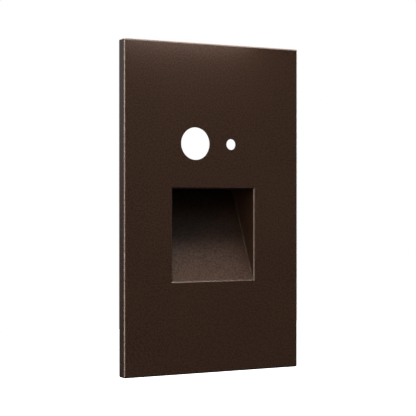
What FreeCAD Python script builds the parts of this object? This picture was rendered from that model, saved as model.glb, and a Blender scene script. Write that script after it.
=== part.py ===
import FreeCAD, Part
import math
import os

from FreeCAD import Vector

# A recessed step light for a single-gang wall box, in millimetres. X runs to the viewer's right, Y into
# the wall and Z up. The origin is midway between the two box screws, on the face that bears on the box.
# A cast cover plate with a slanted light hopper hangs by magnets on a steel bracket and pulls straight
# off. The bracket carries a cast housing: the lamp shines down into the hopper from a sealed pocket over
# it, and the driver sits in a closed chamber behind it. The plate is bored for a motion sensor and a
# daylight sensor, which are not fitted, so both holes and the bracket's window behind them stand open.

# ---- cover plate ----
plate_width = 76.2
plate_height = 127.0
plate_depth = 4.5  # front face to wall
plate_skin = 1.6
rim_wall = 2.0
edge_bevel = 0.5
plate_corner_radius = 0.6
rib_height = 0.8
rib_width = 1.2
rib_column = 22.0  # upright ribs, each side of the middle
rib_rows = (14.0, -34.0)

# ---- light opening and the hopper behind it ----
opening_width = 35.7
opening_height = 35.4
opening_drop = 10.2  # centre of the opening below the plate's centre
hopper_depth = 16.7  # behind the bevel, at the ceiling
hopper_wall = 1.5
crease_radius = 0.6
light_slot_width = 27.0
light_slot_depth = 8.0
light_slot_corner = 1.5

# ---- bores for the sensors ----
sensor_row = 24.8  # above the plate's centre
sensor_hole_radius = 6.25
sensor_hole_offset = 8.0
daylight_hole_radius = 2.1
daylight_hole_offset = 7.6
hole_land = 0.5  # straight wall, before the bore opens out at 45 degrees

# ---- magnets, locating pins and wall gasket ----
magnet_radius = 3.0
magnet_thickness = 1.5
magnet_side_inset = 12.1  # from the plate's side edge
magnet_end_inset = 13.5  # from its top or bottom edge
magnet_proud = 0.2
magnet_seat_gap = 0.3
magnet_glue = 0.05
magnet_boss_wall = 1.2
pin_radius = 1.5
pin_length = 4.0
pin_housing_gap = 0.8  # from the housing's side to the pin
pin_clearance = 0.2
gasket_width = 3.2
gasket_clearance = 0.1

# ---- mounting bracket ----
bracket_side_gap = 1.8  # between the gasket and the bracket
bracket_end_gap = 2.2
bracket_sheet = 1.5
bracket_corner_radius = 4.0
window_corner_radius = 1.5
box_screw_spacing = 83.34
box_screw_hole_radius = 2.2
cup_depth = 1.5
cup_floor_radius = 4.4
cup_flare = 1.6
sensor_window_width = 38.0
sensor_window_margin = 1.0
hopper_gap = 0.75
ground_tab_width = 12.0
ground_tab_length = 11.0
ground_tab_step = 1.0  # from the window's edge to the tab
bend_radius = 0.8

# ---- lamp pocket over the hopper, stacked upwards ----
roof_gap = 0.45
lens_width = 31.6
lens_depth = 10.0
lens_thickness = 2.0
lens_bevel = 0.3
lens_seal = 0.4
seal_relief = 0.3  # how far the seal stops short of the glass
pocket_margin = 0.3  # round the lamp board
reflector_height = 1.8
reflector_floor_width = 27.6
reflector_floor_depth = 6.6
reflector_top_width = 24.0
reflector_top_depth = 4.4
lamp_board_width = 29.4
lamp_board_depth = 9.0
lamp_board_thickness = 1.0
lamp_count = 6
lamp_pitch = 3.6
lamp_length = 2.8
lamp_breadth = 3.5
lamp_height = 0.7
lamp_rim = 0.35  # round the dished face
thermal_pad_thickness = 0.3
lamp_screw_column = 13.2

# ---- housing, seal and rear cover ----
housing_width = 46.0
housing_depth = 29.0
housing_bottom = -33.5
housing_corner_radius = 2.5
housing_wall = 2.5
partition_wall = 2.0
pocket_front_wall = 2.2
pocket_rear_wall = 3.0
pocket_roof_wall = 2.0
well_gap = 1.0
fin_count = 5
fin_pitch = 4.4
fin_groove = 2.4
fin_depth = 1.0
fin_margin = 3.5
boss_half = 3.6  # half the side of a corner boss for a cover screw
boss_inset = 0.2  # from the housing's outside to the boss
boss_length = 10.0
cover_thickness = 2.0
cover_seal_thickness = 1.0
cover_panel_height = 1.0
cover_panel_margin = 8.5
cover_post_half = 2.4
inlet_pad_margin = 1.0  # round the grommet's flange

# ---- driver board and what stands on it ----
board_width = 37.0
board_height = 35.0
board_bottom = -25.5
board_thickness = 1.6
board_clearance = 3.5  # to the rear cover
board_hole_inset = 3.0
notch_width = 12.5
notch_height = 12.5
transformer_column = 6.5
transformer_row = -12.5
core_width = 18.0
core_height = 15.0
core_thickness = 5.0
core_leg = 4.0
core_yoke = 2.5
coil_overhang = 3.4
coil_gap = 0.25
coil_corner_radius = 1.5
bulk_capacitor_place = (-9.0, -18.0)
bulk_capacitor_radius = 5.0
bulk_capacitor_length = 16.0
output_capacitor_place = (8.0, 2.5)
output_capacitor_radius = 4.0
output_capacitor_length = 6.5
film_capacitor_row = -22.8
film_capacitor_breadth = 5.0
film_capacitor_height = 10.0
film_capacitor_gap = 0.3  # to the fuse on one side and a screw's head on the other
rectifier_place = (-11.5, -9.5)
rectifier_size = (8.4, 6.4, 3.3)
fuse_place = (-2.4, -22.6)
fuse_radius = 2.4
fuse_length = 8.0
varistor_place = (-3.9, 1.5)
varistor_radius = 3.6
varistor_thickness = 3.4
controller_place = (-2.0, -14.0)
controller_size = (4.9, 3.9)
switch_place = (8.0, -14.0)
switch_size = (6.5, 6.1)
chip_height = 1.6

# ---- wires, lead inlet ----
wire_radius = 0.6
wire_column = 1.5
wire_slot_width = 6.0
wire_slot_height = 2.4
wire_landing = 1.6  # how far the wires reach under the lamp board
wire_inset = 5.0  # from the driver board's top edge to the wires
wire_rise = 3.0  # off the driver board, before the wires turn up
wire_run = 5.4  # in front of the slot, before they turn into it
wire_sides = 6
grommet_bore_radius = 2.6
grommet_neck_radius = 4.2
grommet_flange_radius = 5.8
grommet_flange = 1.4
grommet_clearance = 0.05
inlet_column = -12.2
inlet_row = 3.2

# ---- screws: shank radius, head radius, head height ----
screw_sides = 10
screw_clearance = 0.05
engine_screw_radius = 1.5
engine_screw_length = 7.0
engine_screw_head = 2.75
engine_screw_column = 19.0
engine_screw_low_column = 15.0
engine_screw_low_row = -30.2
cover_screw_radius = 1.5
cover_screw_length = 9.0
cover_screw_head = 2.8
cover_screw_head_height = 1.9
small_screw_radius = 1.0
small_screw_head = 1.9
lamp_screw_head = 1.7
lamp_screw_head_height = 0.6
lamp_screw_bite = 1.4
driver_screw_head_height = 1.2
driver_screw_bite = 4.0
ground_screw_radius = 2.4
ground_screw_head = 4.0
ground_screw_head_height = 2.2
ground_washer_radius = 4.7
ground_washer = 0.8
ground_screw_reach = 1.0

# ---- places that follow from the sizes above ----
wall_y = -cup_depth  # wall surface, and the bracket's back
bracket_front = wall_y - bracket_sheet
front_y = wall_y - plate_depth
skin_back = front_y + plate_skin
throat_y = front_y + edge_bevel  # where the bevel ends and the hopper starts
opening_half = opening_width / 2
opening_top = opening_height / 2 - opening_drop
opening_bottom = opening_top - opening_height
gasket_outer_width = plate_width - 2 * (rim_wall + gasket_clearance)
gasket_outer_height = plate_height - 2 * (rim_wall + gasket_clearance)
gasket_inner_width = gasket_outer_width - 2 * gasket_width
gasket_inner_height = gasket_outer_height - 2 * gasket_width
bracket_width = gasket_inner_width - 2 * bracket_side_gap
bracket_height = gasket_inner_height - 2 * bracket_end_gap
magnet_column = plate_width / 2 - magnet_side_inset
magnet_row = plate_height / 2 - magnet_end_inset
slope = hopper_depth / opening_height  # how far the slanted panel goes back for each mm up
across_slant = math.sqrt(1 + slope**2)  # thickness along Y of a wall 1 mm thick across the slant
hopper_outside = opening_half + hopper_wall
well_half = hopper_outside + hopper_gap

pocket_floor = opening_top + hopper_wall + roof_gap
lens_top = pocket_floor + lens_thickness
reflector_top = lens_top + reflector_height
board_face = reflector_top + lamp_height
pad_bottom = board_face + lamp_board_thickness
pocket_roof = pad_bottom + thermal_pad_thickness
housing_top = pocket_roof + pocket_roof_wall
recess_depth = lens_depth + 2 * lens_seal
recess_width = lens_width + 2 * lens_seal
pocket_y = wall_y + pocket_front_wall + recess_depth / 2  # middle of the lamp pocket, front to back

housing_half = housing_width / 2
pin_column = housing_half + pin_housing_gap + pin_radius
housing_back = wall_y + housing_depth
housing_height = housing_top - housing_bottom
housing_middle = (housing_top + housing_bottom) / 2
chamber_half = housing_half - housing_wall
chamber_top = housing_top - housing_wall
chamber_bottom = housing_bottom + housing_wall
chamber_front = wall_y + housing_wall
lamp_chamber_front = pocket_y + lamp_board_depth / 2 + pocket_margin + pocket_rear_wall
boss_column = housing_half - boss_half - boss_inset
boss_rows = (housing_bottom + boss_half + boss_inset, housing_top - boss_half - boss_inset)
cover_front = housing_back + cover_seal_thickness
cover_back = cover_front + cover_thickness
board_back = cover_front - board_clearance
board_front = board_back - board_thickness
board_top = board_bottom + board_height
board_half = board_width / 2
wire_level = board_face - wire_radius
film_capacitor_left = fuse_place[0] + fuse_radius + film_capacitor_gap
film_capacitor_right = board_half - board_hole_inset - small_screw_head - film_capacitor_gap


def slant_y(z, offset=0.0):
    """Y of a plane parallel to the slanted panel, offset mm behind its visible face, at height z."""
    return throat_y + (z - opening_bottom) * slope + offset * across_slant


def slant_z(y, offset=0.0):
    """Height at which that plane passes y."""
    return opening_bottom + (y - offset * across_slant - throat_y) / slope


# ---- shapes used by more than one piece ----
towards_viewer = Vector(0, -1, 0)
towards_wall = Vector(0, 1, 0)
upwards = Vector(0, 0, 1)
downwards = Vector(0, 0, -1)


def block(x0, x1, y0, y1, z0, z1):
    return Part.makeBox(x1 - x0, y1 - y0, z1 - z0, Vector(x0, y0, z0))


def rod(x, z, radius, y0, y1):
    """A round bar along Y."""
    return Part.makeCylinder(radius, y1 - y0, Vector(x, y0, z), Vector(0, 1, 0))


def flare(x, z, radius0, y0, radius1, y1):
    """A cone along Y."""
    return Part.makeCone(radius0, radius1, y1 - y0, Vector(x, y0, z), Vector(0, 1, 0))


def closed_outline(corners):
    return Part.makePolygon(corners + corners[:1])


def upright_corners(width, height, y, z):
    """A rectangle across Y, centred on x = 0, its corners in turn as the viewer sees them."""
    w, h = width / 2, height / 2
    return [Vector(-w, y, z - h), Vector(w, y, z - h), Vector(w, y, z + h), Vector(-w, y, z + h)]


def level_corners(width, depth, y, z):
    """A rectangle across Z, centred on x = 0, its corners in turn as seen from above."""
    w, d = width / 2, depth / 2
    return [Vector(-w, y - d, z), Vector(w, y - d, z), Vector(w, y + d, z), Vector(-w, y + d, z)]


def frustum(low, high):
    """A solid with flat flanks between two rings of corners, which turn as seen from the high end."""
    rings = [low[::-1], high]
    for number in range(len(low)):
        rings.append([low[number - 1], low[number], high[number], high[number - 1]])
    return Part.makeSolid(Part.makeShell([Part.Face(closed_outline(ring)) for ring in rings]))


def tablet(width, height, radius, y0, y1, x=0.0, z=0.0):
    """A plate across Y with rounded corners."""
    radius = min(radius, 0.49 * width, 0.49 * height)
    body = block(x - width / 2, x + width / 2, y0, y1, z - height / 2, z + height / 2)
    upright = [e for e in body.Edges if abs(e.tangentAt(e.FirstParameter).y) > 0.99]
    return body.makeFillet(radius, upright)


def slab(width, depth, radius, z0, z1, x=0.0, y=0.0):
    """A plate across Z with rounded corners."""
    radius = min(radius, 0.49 * width, 0.49 * depth)
    body = block(x - width / 2, x + width / 2, y - depth / 2, y + depth / 2, z0, z1)
    upright = [e for e in body.Edges if abs(e.tangentAt(e.FirstParameter).z) > 0.99]
    return body.makeFillet(radius, upright)


def profile_along_x(points, x0, x1):
    """Extrudes a Y-Z outline from x0 to x1."""
    outline = closed_outline([Vector(x0, y, z) for y, z in points])
    return Part.Face(outline).extrude(Vector(x1 - x0, 0, 0))


def polygon_corners(radius, sides, centre, axis):
    """The corners of a regular polygon round centre, across axis."""
    turn = FreeCAD.Rotation(upwards, axis)
    corners = []
    for corner in range(sides):
        angle = 2 * math.pi * corner / sides
        corners.append(centre + turn.multVec(Vector(radius * math.cos(angle), radius * math.sin(angle), 0)))
    return corners


def screw_bar(radius, start, axis, length):
    """The many-sided bar of which screws are made, and the holes that hold them."""
    ring = closed_outline(polygon_corners(radius, screw_sides, start, axis))
    return Part.Face(ring).extrude(axis * length)


def screw_hole(x, z, radius, y0, y1):
    """A screw's hole along Y."""
    return screw_bar(radius, Vector(x, y0, z), towards_wall, y1 - y0)


def screw_taper(radius0, radius1, start, axis, length):
    """The flank of a flat head, and of the countersink that holds it."""
    low = polygon_corners(radius0, screw_sides, start, axis)
    high = polygon_corners(radius1, screw_sides, start + axis * length, axis)
    return frustum(low, high)


def pan_screw(radius, length, head_radius, head_height):
    """Axis on Z, the head's seat at z = 0 and its top above it."""
    head = screw_bar(head_radius, Vector(0, 0, 0), upwards, head_height)
    return head.fuse(screw_bar(radius, Vector(0, 0, 0), downwards, length)).removeSplitter()


def countersunk_screw(radius, length, head_radius):
    """Axis on Z, the flat head's top at z = 0 and a 90-degree taper under it."""
    flank_height = head_radius - radius
    head = screw_taper(radius, head_radius, Vector(0, 0, -flank_height), upwards, flank_height)
    return head.fuse(screw_bar(radius, Vector(0, 0, -length), upwards, length)).removeSplitter()


def aim(shape, place, direction):
    """Turns a shape that points up Z to point along direction, and puts its origin at place."""
    turned = shape.copy()
    turned.Placement = FreeCAD.Placement(place, FreeCAD.Rotation(upwards, direction))
    return turned


# ---- cover plate ----
def hopper_cavity():
    """The wedge of space in the hopper, with its two long creases rounded."""
    reach = opening_height / 4  # run on past the throat, so that the rounded creases end outside it
    outline = [
        (slant_y(opening_bottom - reach), opening_bottom - reach),
        (slant_y(opening_top), opening_top),
        (slant_y(opening_bottom - reach), opening_top),
    ]
    wedge = profile_along_x(outline, -opening_half, opening_half)
    creases = []
    for edge in wedge.Edges:
        direction = edge.tangentAt(edge.FirstParameter)
        if abs(direction.y) > 0.1 and abs(direction.z) > 0.1:
            creases.append(edge)
    wedge = wedge.makeFillet(crease_radius, creases)
    behind_throat = block(
        -opening_width, opening_width, throat_y, throat_y + 2 * hopper_depth, opening_bottom, opening_top
    )
    return wedge.common(behind_throat)


def hopper_shell():
    """The outside of the hopper, before its inside is cut, from within the skin back."""
    outer_top = opening_top + hopper_wall
    start = front_y + plate_skin / 2
    outline = [
        (start, slant_z(start, hopper_wall)),
        (slant_y(outer_top, hopper_wall), outer_top),
        (start, outer_top),
    ]
    return profile_along_x(outline, -hopper_outside, hopper_outside)


def opening_bevel():
    """The bevelled mouth, which widens from the throat to the front face."""
    centre = (opening_top + opening_bottom) / 2
    outer_size = (opening_width + 2 * edge_bevel, opening_height + 2 * edge_bevel)
    inner = upright_corners(opening_width, opening_height, throat_y, centre)
    return frustum(inner, upright_corners(*outer_size, front_y, centre))


def sensor_bore(x, radius):
    """A short straight land at the front, then a 45-degree flare towards the sensor."""
    land_end = front_y + hole_land
    flare_depth = skin_back - land_end
    land = rod(x, sensor_row, radius, front_y, land_end)
    return land.fuse(flare(x, sensor_row, radius, land_end, radius + flare_depth, skin_back))


def magnet_places():
    return [(x, z) for x in (-magnet_column, magnet_column) for z in (-magnet_row, magnet_row)]


def plate_ribs():
    """Two upright ribs and the cross ribs between them and the rim, on the back of the skin."""
    inside_x, inside_z = gasket_inner_width / 2, gasket_inner_height / 2
    rib_front = skin_back - plate_skin / 2
    rib_back = skin_back + rib_height
    ribs = []
    for x in (-rib_column, rib_column):
        ribs.append(block(x - rib_width / 2, x + rib_width / 2, rib_front, rib_back, -inside_z, inside_z))
    for z in rib_rows:
        ribs.append(block(-inside_x, inside_x, rib_front, rib_back, z - rib_width / 2, z + rib_width / 2))
    return ribs


def face_plate():
    """One casting: skin, rim, hopper, ribs, magnet bosses and locating pins."""
    body = tablet(plate_width, plate_height, plate_corner_radius, front_y, wall_y)
    front_edges = [e for e in body.Edges if e.BoundBox.YMax < front_y + 0.01]
    body = body.makeChamfer(edge_bevel, front_edges)
    inside_x, inside_z = plate_width / 2 - rim_wall, plate_height / 2 - rim_wall
    body = body.cut(block(-inside_x, inside_x, skin_back, wall_y, -inside_z, inside_z))
    added = [hopper_shell()] + plate_ribs()
    boss_back = bracket_front - magnet_seat_gap - magnet_proud
    half = magnet_radius + magnet_boss_wall
    for x, z in magnet_places():
        added.append(block(x - half, x + half, skin_back - plate_skin / 2, boss_back, z - half, z + half))
    for x in (-pin_column, pin_column):
        added.append(rod(x, -opening_drop, pin_radius, skin_back - plate_skin / 2, skin_back + pin_length))
    body = body.multiFuse(added)

    cuts = [hopper_cavity(), opening_bevel()]
    cuts.append(sensor_bore(-sensor_hole_offset, sensor_hole_radius))
    cuts.append(sensor_bore(daylight_hole_offset, daylight_hole_radius))
    roof = (opening_top - crease_radius, opening_top + hopper_wall + roof_gap)
    cuts.append(slab(light_slot_width, light_slot_depth, light_slot_corner, *roof, y=pocket_y))
    pocket_back = bracket_front - magnet_seat_gap
    for x, z in magnet_places():
        pocket_front = pocket_back - magnet_thickness - magnet_glue
        cuts.append(rod(x, z, magnet_radius + magnet_glue, pocket_front, pocket_back))
    return body.cut(Part.makeCompound(cuts)).removeSplitter()


def plate_magnets():
    back = bracket_front - magnet_seat_gap
    front = back - magnet_thickness
    return Part.makeCompound([rod(x, z, magnet_radius, front, back) for x, z in magnet_places()])


def wall_gasket():
    """Closed-cell foam ring inside the rim, pressed between the skin and the wall."""
    outside_x, outside_z = gasket_outer_width / 2, gasket_outer_height / 2
    ring = block(-outside_x, outside_x, skin_back, wall_y, -outside_z, outside_z)
    hole = tablet(gasket_inner_width, gasket_inner_height, gasket_width, skin_back, wall_y)
    return ring.cut(hole)


# ---- bracket ----
def engine_screw_places():
    """Two screws in the bar over the hopper, two in the bar under it."""
    upper_row = (pocket_floor + sensor_row - sensor_hole_radius - sensor_window_margin) / 2
    upper = [(x, upper_row) for x in (-engine_screw_column, engine_screw_column)]
    lower = [(x, engine_screw_low_row) for x in (-engine_screw_low_column, engine_screw_low_column)]
    return upper + lower


def ground_tab():
    """An L of sheet bent back from the sensor window's left edge, with its bend rounded."""
    leg = -sensor_window_width / 2 + ground_tab_step  # outer face of the leg
    z = sensor_row - ground_tab_width / 2
    outer = bend_radius + bracket_sheet
    face, back = leg + bracket_sheet, bracket_front + ground_tab_length
    root = -sensor_window_width / 2 - 2 * bracket_sheet
    turn = 1 - math.sqrt(0.5)
    outer_middle = Vector(face - outer * turn, bracket_front + outer * turn, z)
    inner_middle = Vector(leg - bend_radius * turn, wall_y + bend_radius * turn, z)
    outer_start, outer_end = Vector(face - outer, bracket_front, z), Vector(face, bracket_front + outer, z)
    inner_start, inner_end = Vector(leg, wall_y + bend_radius, z), Vector(leg - bend_radius, wall_y, z)
    edges = [
        Part.makeLine(Vector(root, bracket_front, z), outer_start),
        Part.Arc(outer_start, outer_middle, outer_end).toShape(),
        Part.makeLine(outer_end, Vector(face, back, z)),
        Part.makeLine(Vector(face, back, z), Vector(leg, back, z)),
        Part.makeLine(Vector(leg, back, z), inner_start),
        Part.Arc(inner_start, inner_middle, inner_end).toShape(),
        Part.makeLine(inner_end, Vector(root, wall_y, z)),
        Part.makeLine(Vector(root, wall_y, z), Vector(root, bracket_front, z)),
    ]
    return Part.Face(Part.Wire(edges)).extrude(Vector(0, 0, ground_tab_width))


def ground_screw_y():
    return wall_y + ground_tab_length / 2


def mounting_bracket():
    """Pressed steel strap: two dished box-screw holes, two windows and a bent ground tab."""
    strap = tablet(bracket_width, bracket_height, bracket_corner_radius, bracket_front, wall_y)
    hopper_low = slant_z(bracket_front, hopper_wall) - hopper_gap
    hopper_window = tablet(
        2 * well_half,
        pocket_floor - hopper_low,
        window_corner_radius,
        bracket_front,
        wall_y,
        z=(pocket_floor + hopper_low) / 2,
    )
    window_height = 2 * (sensor_hole_radius + sensor_window_margin)
    sensor_window = tablet(
        sensor_window_width, window_height, window_corner_radius, bracket_front, wall_y, z=sensor_row
    )
    strap = strap.cut(hopper_window).cut(sensor_window).fuse(ground_tab())

    wall_growth = cup_flare * bracket_sheet / cup_depth
    for z in (-box_screw_spacing / 2, box_screw_spacing / 2):
        outer_floor = cup_floor_radius + bracket_sheet
        strap = strap.fuse(flare(0, z, outer_floor + cup_flare, wall_y, outer_floor, 0.0))
        strap = strap.cut(
            flare(0, z, cup_floor_radius + wall_growth, bracket_front, cup_floor_radius, -bracket_sheet)
        )
        strap = strap.cut(rod(0, z, box_screw_hole_radius, -bracket_sheet, 0.0))

    holes = []
    for x in (-pin_column, pin_column):
        holes.append(rod(x, -opening_drop, pin_radius + pin_clearance, bracket_front, wall_y))
    clearance_radius = engine_screw_radius + screw_clearance
    head_radius = engine_screw_head + screw_clearance
    flank = head_radius - clearance_radius
    for x, z in engine_screw_places():
        flank_end = Vector(x, bracket_front + flank, z)
        holes.append(screw_hole(x, z, clearance_radius, bracket_front, wall_y))
        holes.append(screw_taper(clearance_radius, head_radius, flank_end, towards_viewer, flank))
    tab_start = Vector(-sensor_window_width / 2, ground_screw_y(), sensor_row)
    tab_reach = ground_tab_step + bracket_sheet
    holes.append(screw_bar(ground_screw_radius + screw_clearance, tab_start, Vector(1, 0, 0), tab_reach))
    return strap.cut(Part.makeCompound(holes)).removeSplitter()


def engine_screws():
    screw = countersunk_screw(engine_screw_radius, engine_screw_length, engine_screw_head)
    heads = [Vector(x, bracket_front, z) for x, z in engine_screw_places()]
    return Part.makeCompound([aim(screw, head, towards_viewer) for head in heads])


def ground_screw():
    """Hexagon washer-head screw, put in from the box's side of the tab."""
    hexagon = closed_outline(polygon_corners(ground_screw_head, 6, Vector(0, 0, ground_washer), upwards))
    head = Part.Face(hexagon).extrude(upwards * ground_screw_head_height)
    slot_depth = ground_screw_head_height / 2
    slot_bottom = ground_washer + ground_screw_head_height - slot_depth
    slot = block(-ground_screw_head, ground_screw_head, -0.5, 0.5, slot_bottom, slot_bottom + slot_depth)
    washer = screw_bar(ground_washer_radius, Vector(0, 0, 0), upwards, ground_washer)
    shank = screw_bar(ground_screw_radius, Vector(0, 0, 0), downwards, bracket_sheet + ground_screw_reach)
    screw = head.multiFuse([washer, shank]).cut(slot).removeSplitter()
    seat = Vector(-sensor_window_width / 2 + ground_tab_step, ground_screw_y(), sensor_row)
    return aim(screw, seat, Vector(-1, 0, 0))


# ---- housing ----
def well():
    """The space the hopper slides into, open to the front."""
    offset = hopper_wall + well_gap
    outline = [
        (wall_y, slant_z(wall_y, offset)),
        (slant_y(pocket_floor, offset), pocket_floor),
        (wall_y, pocket_floor),
    ]
    return profile_along_x(outline, -well_half, well_half)


def driver_chamber():
    """The closed space behind the slanted partition, open at the back for the cover."""
    offset = hopper_wall + well_gap + partition_wall
    knee = pocket_floor + partition_wall
    outline = [
        (chamber_front, chamber_bottom),
        (chamber_front, max(slant_z(chamber_front, offset), chamber_bottom + 0.1)),
        (slant_y(knee, offset), knee),
        (lamp_chamber_front, knee),
        (lamp_chamber_front, chamber_top),
        (housing_back, chamber_top),
        (housing_back, chamber_bottom),
    ]
    return profile_along_x(outline, -chamber_half, chamber_half)


def lamp_pocket():
    """Stepped pocket over the hopper: a recess for the glass, then a box for the lamp board."""
    recess = lamp_block(recess_width, recess_depth, pocket_floor, lens_top)
    box_size = (lamp_board_width + 2 * pocket_margin, lamp_board_depth + 2 * pocket_margin)
    box = lamp_block(*box_size, lens_top, pocket_roof)
    wire_slot = block(
        -wire_slot_width / 2,
        wire_slot_width / 2,
        pocket_y,
        lamp_chamber_front,
        wire_level - wire_slot_height / 2,
        wire_level + wire_slot_height / 2,
    )
    return recess.multiFuse([box, wire_slot])


def lamp_screw_places():
    return [(-lamp_screw_column, pocket_y), (lamp_screw_column, pocket_y)]


def cover_screw_places():
    return [(x, z) for x in (-boss_column, boss_column) for z in boss_rows]


def cover_bosses(y0, y1):
    """Square bosses in the chamber's corners, from y0 to y1."""
    bosses = []
    for x, z in cover_screw_places():
        bosses.append(block(x - boss_half, x + boss_half, y0, y1, z - boss_half, z + boss_half))
    return bosses


def fin_grooves():
    """Upright grooves that leave cooling fins on both sides."""
    grooves = []
    middle = wall_y + housing_depth / 2
    for number in range(fin_count):
        y = middle + (number - (fin_count - 1) / 2) * fin_pitch
        for side in (-1, 1):
            x0, x1 = sorted((side * (housing_half - fin_depth), side * housing_half))
            low, high = housing_bottom + fin_margin, housing_top - fin_margin
            grooves.append(block(x0, x1, y - fin_groove / 2, y + fin_groove / 2, low, high))
    return grooves


def engine_housing():
    """One casting: hopper well in front, lamp pocket over it, driver chamber behind."""
    body = tablet(
        housing_width, housing_height, housing_corner_radius, wall_y, housing_back, z=housing_middle
    )
    chamber = driver_chamber()
    bosses = cover_bosses(housing_back - boss_length, housing_back)
    screw_end = bracket_front + engine_screw_length + partition_wall
    half = engine_screw_radius + partition_wall
    for x, z in engine_screw_places():
        bosses.append(block(x - half, x + half, wall_y, screw_end, z - half, z + half))
    chamber = chamber.cut(Part.makeCompound(bosses))
    body = body.cut(chamber).cut(well()).cut(lamp_pocket())

    cuts = fin_grooves()
    engine_hole_end = bracket_front + engine_screw_length + screw_clearance
    for x, z in engine_screw_places():
        cuts.append(screw_hole(x, z, engine_screw_radius + screw_clearance, wall_y, engine_hole_end))
    cover_hole_start = cover_back - cover_screw_length - screw_clearance
    for x, z in cover_screw_places():
        cuts.append(screw_hole(x, z, cover_screw_radius + screw_clearance, cover_hole_start, housing_back))
    for x, y in lamp_screw_places():
        depth = lamp_screw_bite + screw_clearance
        radius = small_screw_radius + screw_clearance
        cuts.append(screw_bar(radius, Vector(x, y, pocket_roof), upwards, depth))
    return body.cut(Part.makeCompound(cuts)).removeSplitter()


# ---- lamp ----
def lamp_block(width, depth, z0, z1):
    """A plate across Z, centred on the lamp pocket."""
    return block(-width / 2, width / 2, pocket_y - depth / 2, pocket_y + depth / 2, z0, z1)


def window_lens():
    """Frosted glass, flush with the pocket's mouth, its lower edge eased."""
    glass = lamp_block(lens_width, lens_depth, pocket_floor, lens_top)
    lower = [e for e in glass.Edges if e.BoundBox.ZMax < pocket_floor + 0.01]
    return glass.makeChamfer(lens_bevel, lower)


def lens_gasket():
    """Silicone bead between the glass and its recess."""
    bead = lamp_block(recess_width, recess_depth, pocket_floor + seal_relief, lens_top)
    return bead.cut(lamp_block(lens_width, lens_depth, pocket_floor, lens_top))


def reflector():
    """White tray whose sides open towards the glass."""
    body = lamp_block(lamp_board_width, lamp_board_depth, lens_top, reflector_top)
    low = level_corners(reflector_floor_width, reflector_floor_depth, pocket_y, lens_top)
    high = level_corners(reflector_top_width, reflector_top_depth, pocket_y, reflector_top)
    wire_notch = block(
        -wire_slot_width / 2,
        wire_slot_width / 2,
        pocket_y + lamp_board_depth / 2 - wire_landing - wire_radius,
        pocket_y + lamp_board_depth / 2,
        wire_level - 1.25 * wire_radius,
        reflector_top,
    )
    return body.cut(frustum(low, high)).cut(wire_notch)


def drilled_lamp_layer(z0, z1):
    """A flat layer of the lamp stack, with its two screw holes."""
    layer = lamp_block(lamp_board_width, lamp_board_depth, z0, z1)
    for x, y in lamp_screw_places():
        layer = layer.cut(screw_bar(small_screw_radius + screw_clearance, Vector(x, y, z0), upwards, z1 - z0))
    return layer


def lamp_board():
    return drilled_lamp_layer(board_face, pad_bottom)


def lamp_chips():
    """A row of surface-mount lamps under the board, each with a dished face."""
    chips = []
    for number in range(lamp_count):
        x = (number - (lamp_count - 1) / 2) * lamp_pitch
        half_length, half_breadth = lamp_length / 2, lamp_breadth / 2
        chip = block(
            x - half_length,
            x + half_length,
            pocket_y - half_breadth,
            pocket_y + half_breadth,
            reflector_top,
            board_face,
        )
        dish = block(
            x - half_length + lamp_rim,
            x + half_length - lamp_rim,
            pocket_y - half_breadth + lamp_rim,
            pocket_y + half_breadth - lamp_rim,
            reflector_top,
            reflector_top + lamp_height / 3,
        )
        chips.append(chip.cut(dish))
    return Part.makeCompound(chips)


def thermal_pad():
    return drilled_lamp_layer(pad_bottom, pocket_roof)


def lamp_screws():
    length = lamp_board_thickness + thermal_pad_thickness + lamp_screw_bite
    screw = pan_screw(small_screw_radius, length, lamp_screw_head, lamp_screw_head_height)
    heads = [Vector(x, y, board_face) for x, y in lamp_screw_places()]
    return Part.makeCompound([aim(screw, head, downwards) for head in heads])


# ---- driver ----
def driver_screw_places():
    """Board corners, without the one that is cut away for the lead inlet."""
    left, right = -board_half + board_hole_inset, board_half - board_hole_inset
    low, high = board_bottom + board_hole_inset, board_top - board_hole_inset
    return [(left, low), (right, low), (right, high)]


def driver_board():
    board = block(-board_half, board_half, board_front, board_back, board_bottom, board_top)
    notch_right, notch_bottom = -board_half + notch_width, board_top - notch_height
    board = board.cut(block(-board_half, notch_right, board_front, board_back, notch_bottom, board_top))
    for x, z in driver_screw_places():
        board = board.cut(screw_hole(x, z, small_screw_radius + screw_clearance, board_front, board_back))
    return board


def driver_screws():
    length = board_thickness + driver_screw_bite
    screw = pan_screw(small_screw_radius, length, small_screw_head, driver_screw_head_height)
    return Part.makeCompound(
        [aim(screw, Vector(x, board_front, z), towards_viewer) for x, z in driver_screw_places()]
    )


def transformer_core():
    """Ferrite frame with a middle leg, lying parallel to the board."""
    back = board_front - coil_overhang
    front = back - core_thickness
    half_height = core_height / 2
    frame = block(-core_width / 2, core_width / 2, front, back, -half_height, half_height)
    window = (core_leg / 2, core_width / 2 - core_yoke)
    window_top = half_height - core_yoke
    frame = frame.cut(block(window[0], window[1], front, back, -window_top, window_top))
    frame = frame.cut(block(-window[1], -window[0], front, back, -window_top, window_top))
    frame.translate(Vector(transformer_column, 0, transformer_row))
    return frame


def transformer_coil():
    """Taped winding on its bobbin, round the middle leg, standing on the board."""
    core_back = board_front - coil_overhang
    core_front = core_back - core_thickness
    width = core_width - 2 * core_yoke - 2 * coil_gap
    height = core_height - 2 * core_yoke - 2 * coil_gap
    coil = tablet(width, height, coil_corner_radius, core_front - coil_overhang, board_front)
    tunnel_half = core_leg / 2 + coil_gap
    tunnel = block(
        -tunnel_half, tunnel_half, core_front - coil_gap, core_back + coil_gap, -height / 2, height / 2
    )
    coil = coil.cut(tunnel)
    coil.translate(Vector(transformer_column, 0, transformer_row))
    return coil


def bulk_capacitor():
    return rod(*bulk_capacitor_place, bulk_capacitor_radius, board_front - bulk_capacitor_length, board_front)


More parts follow.
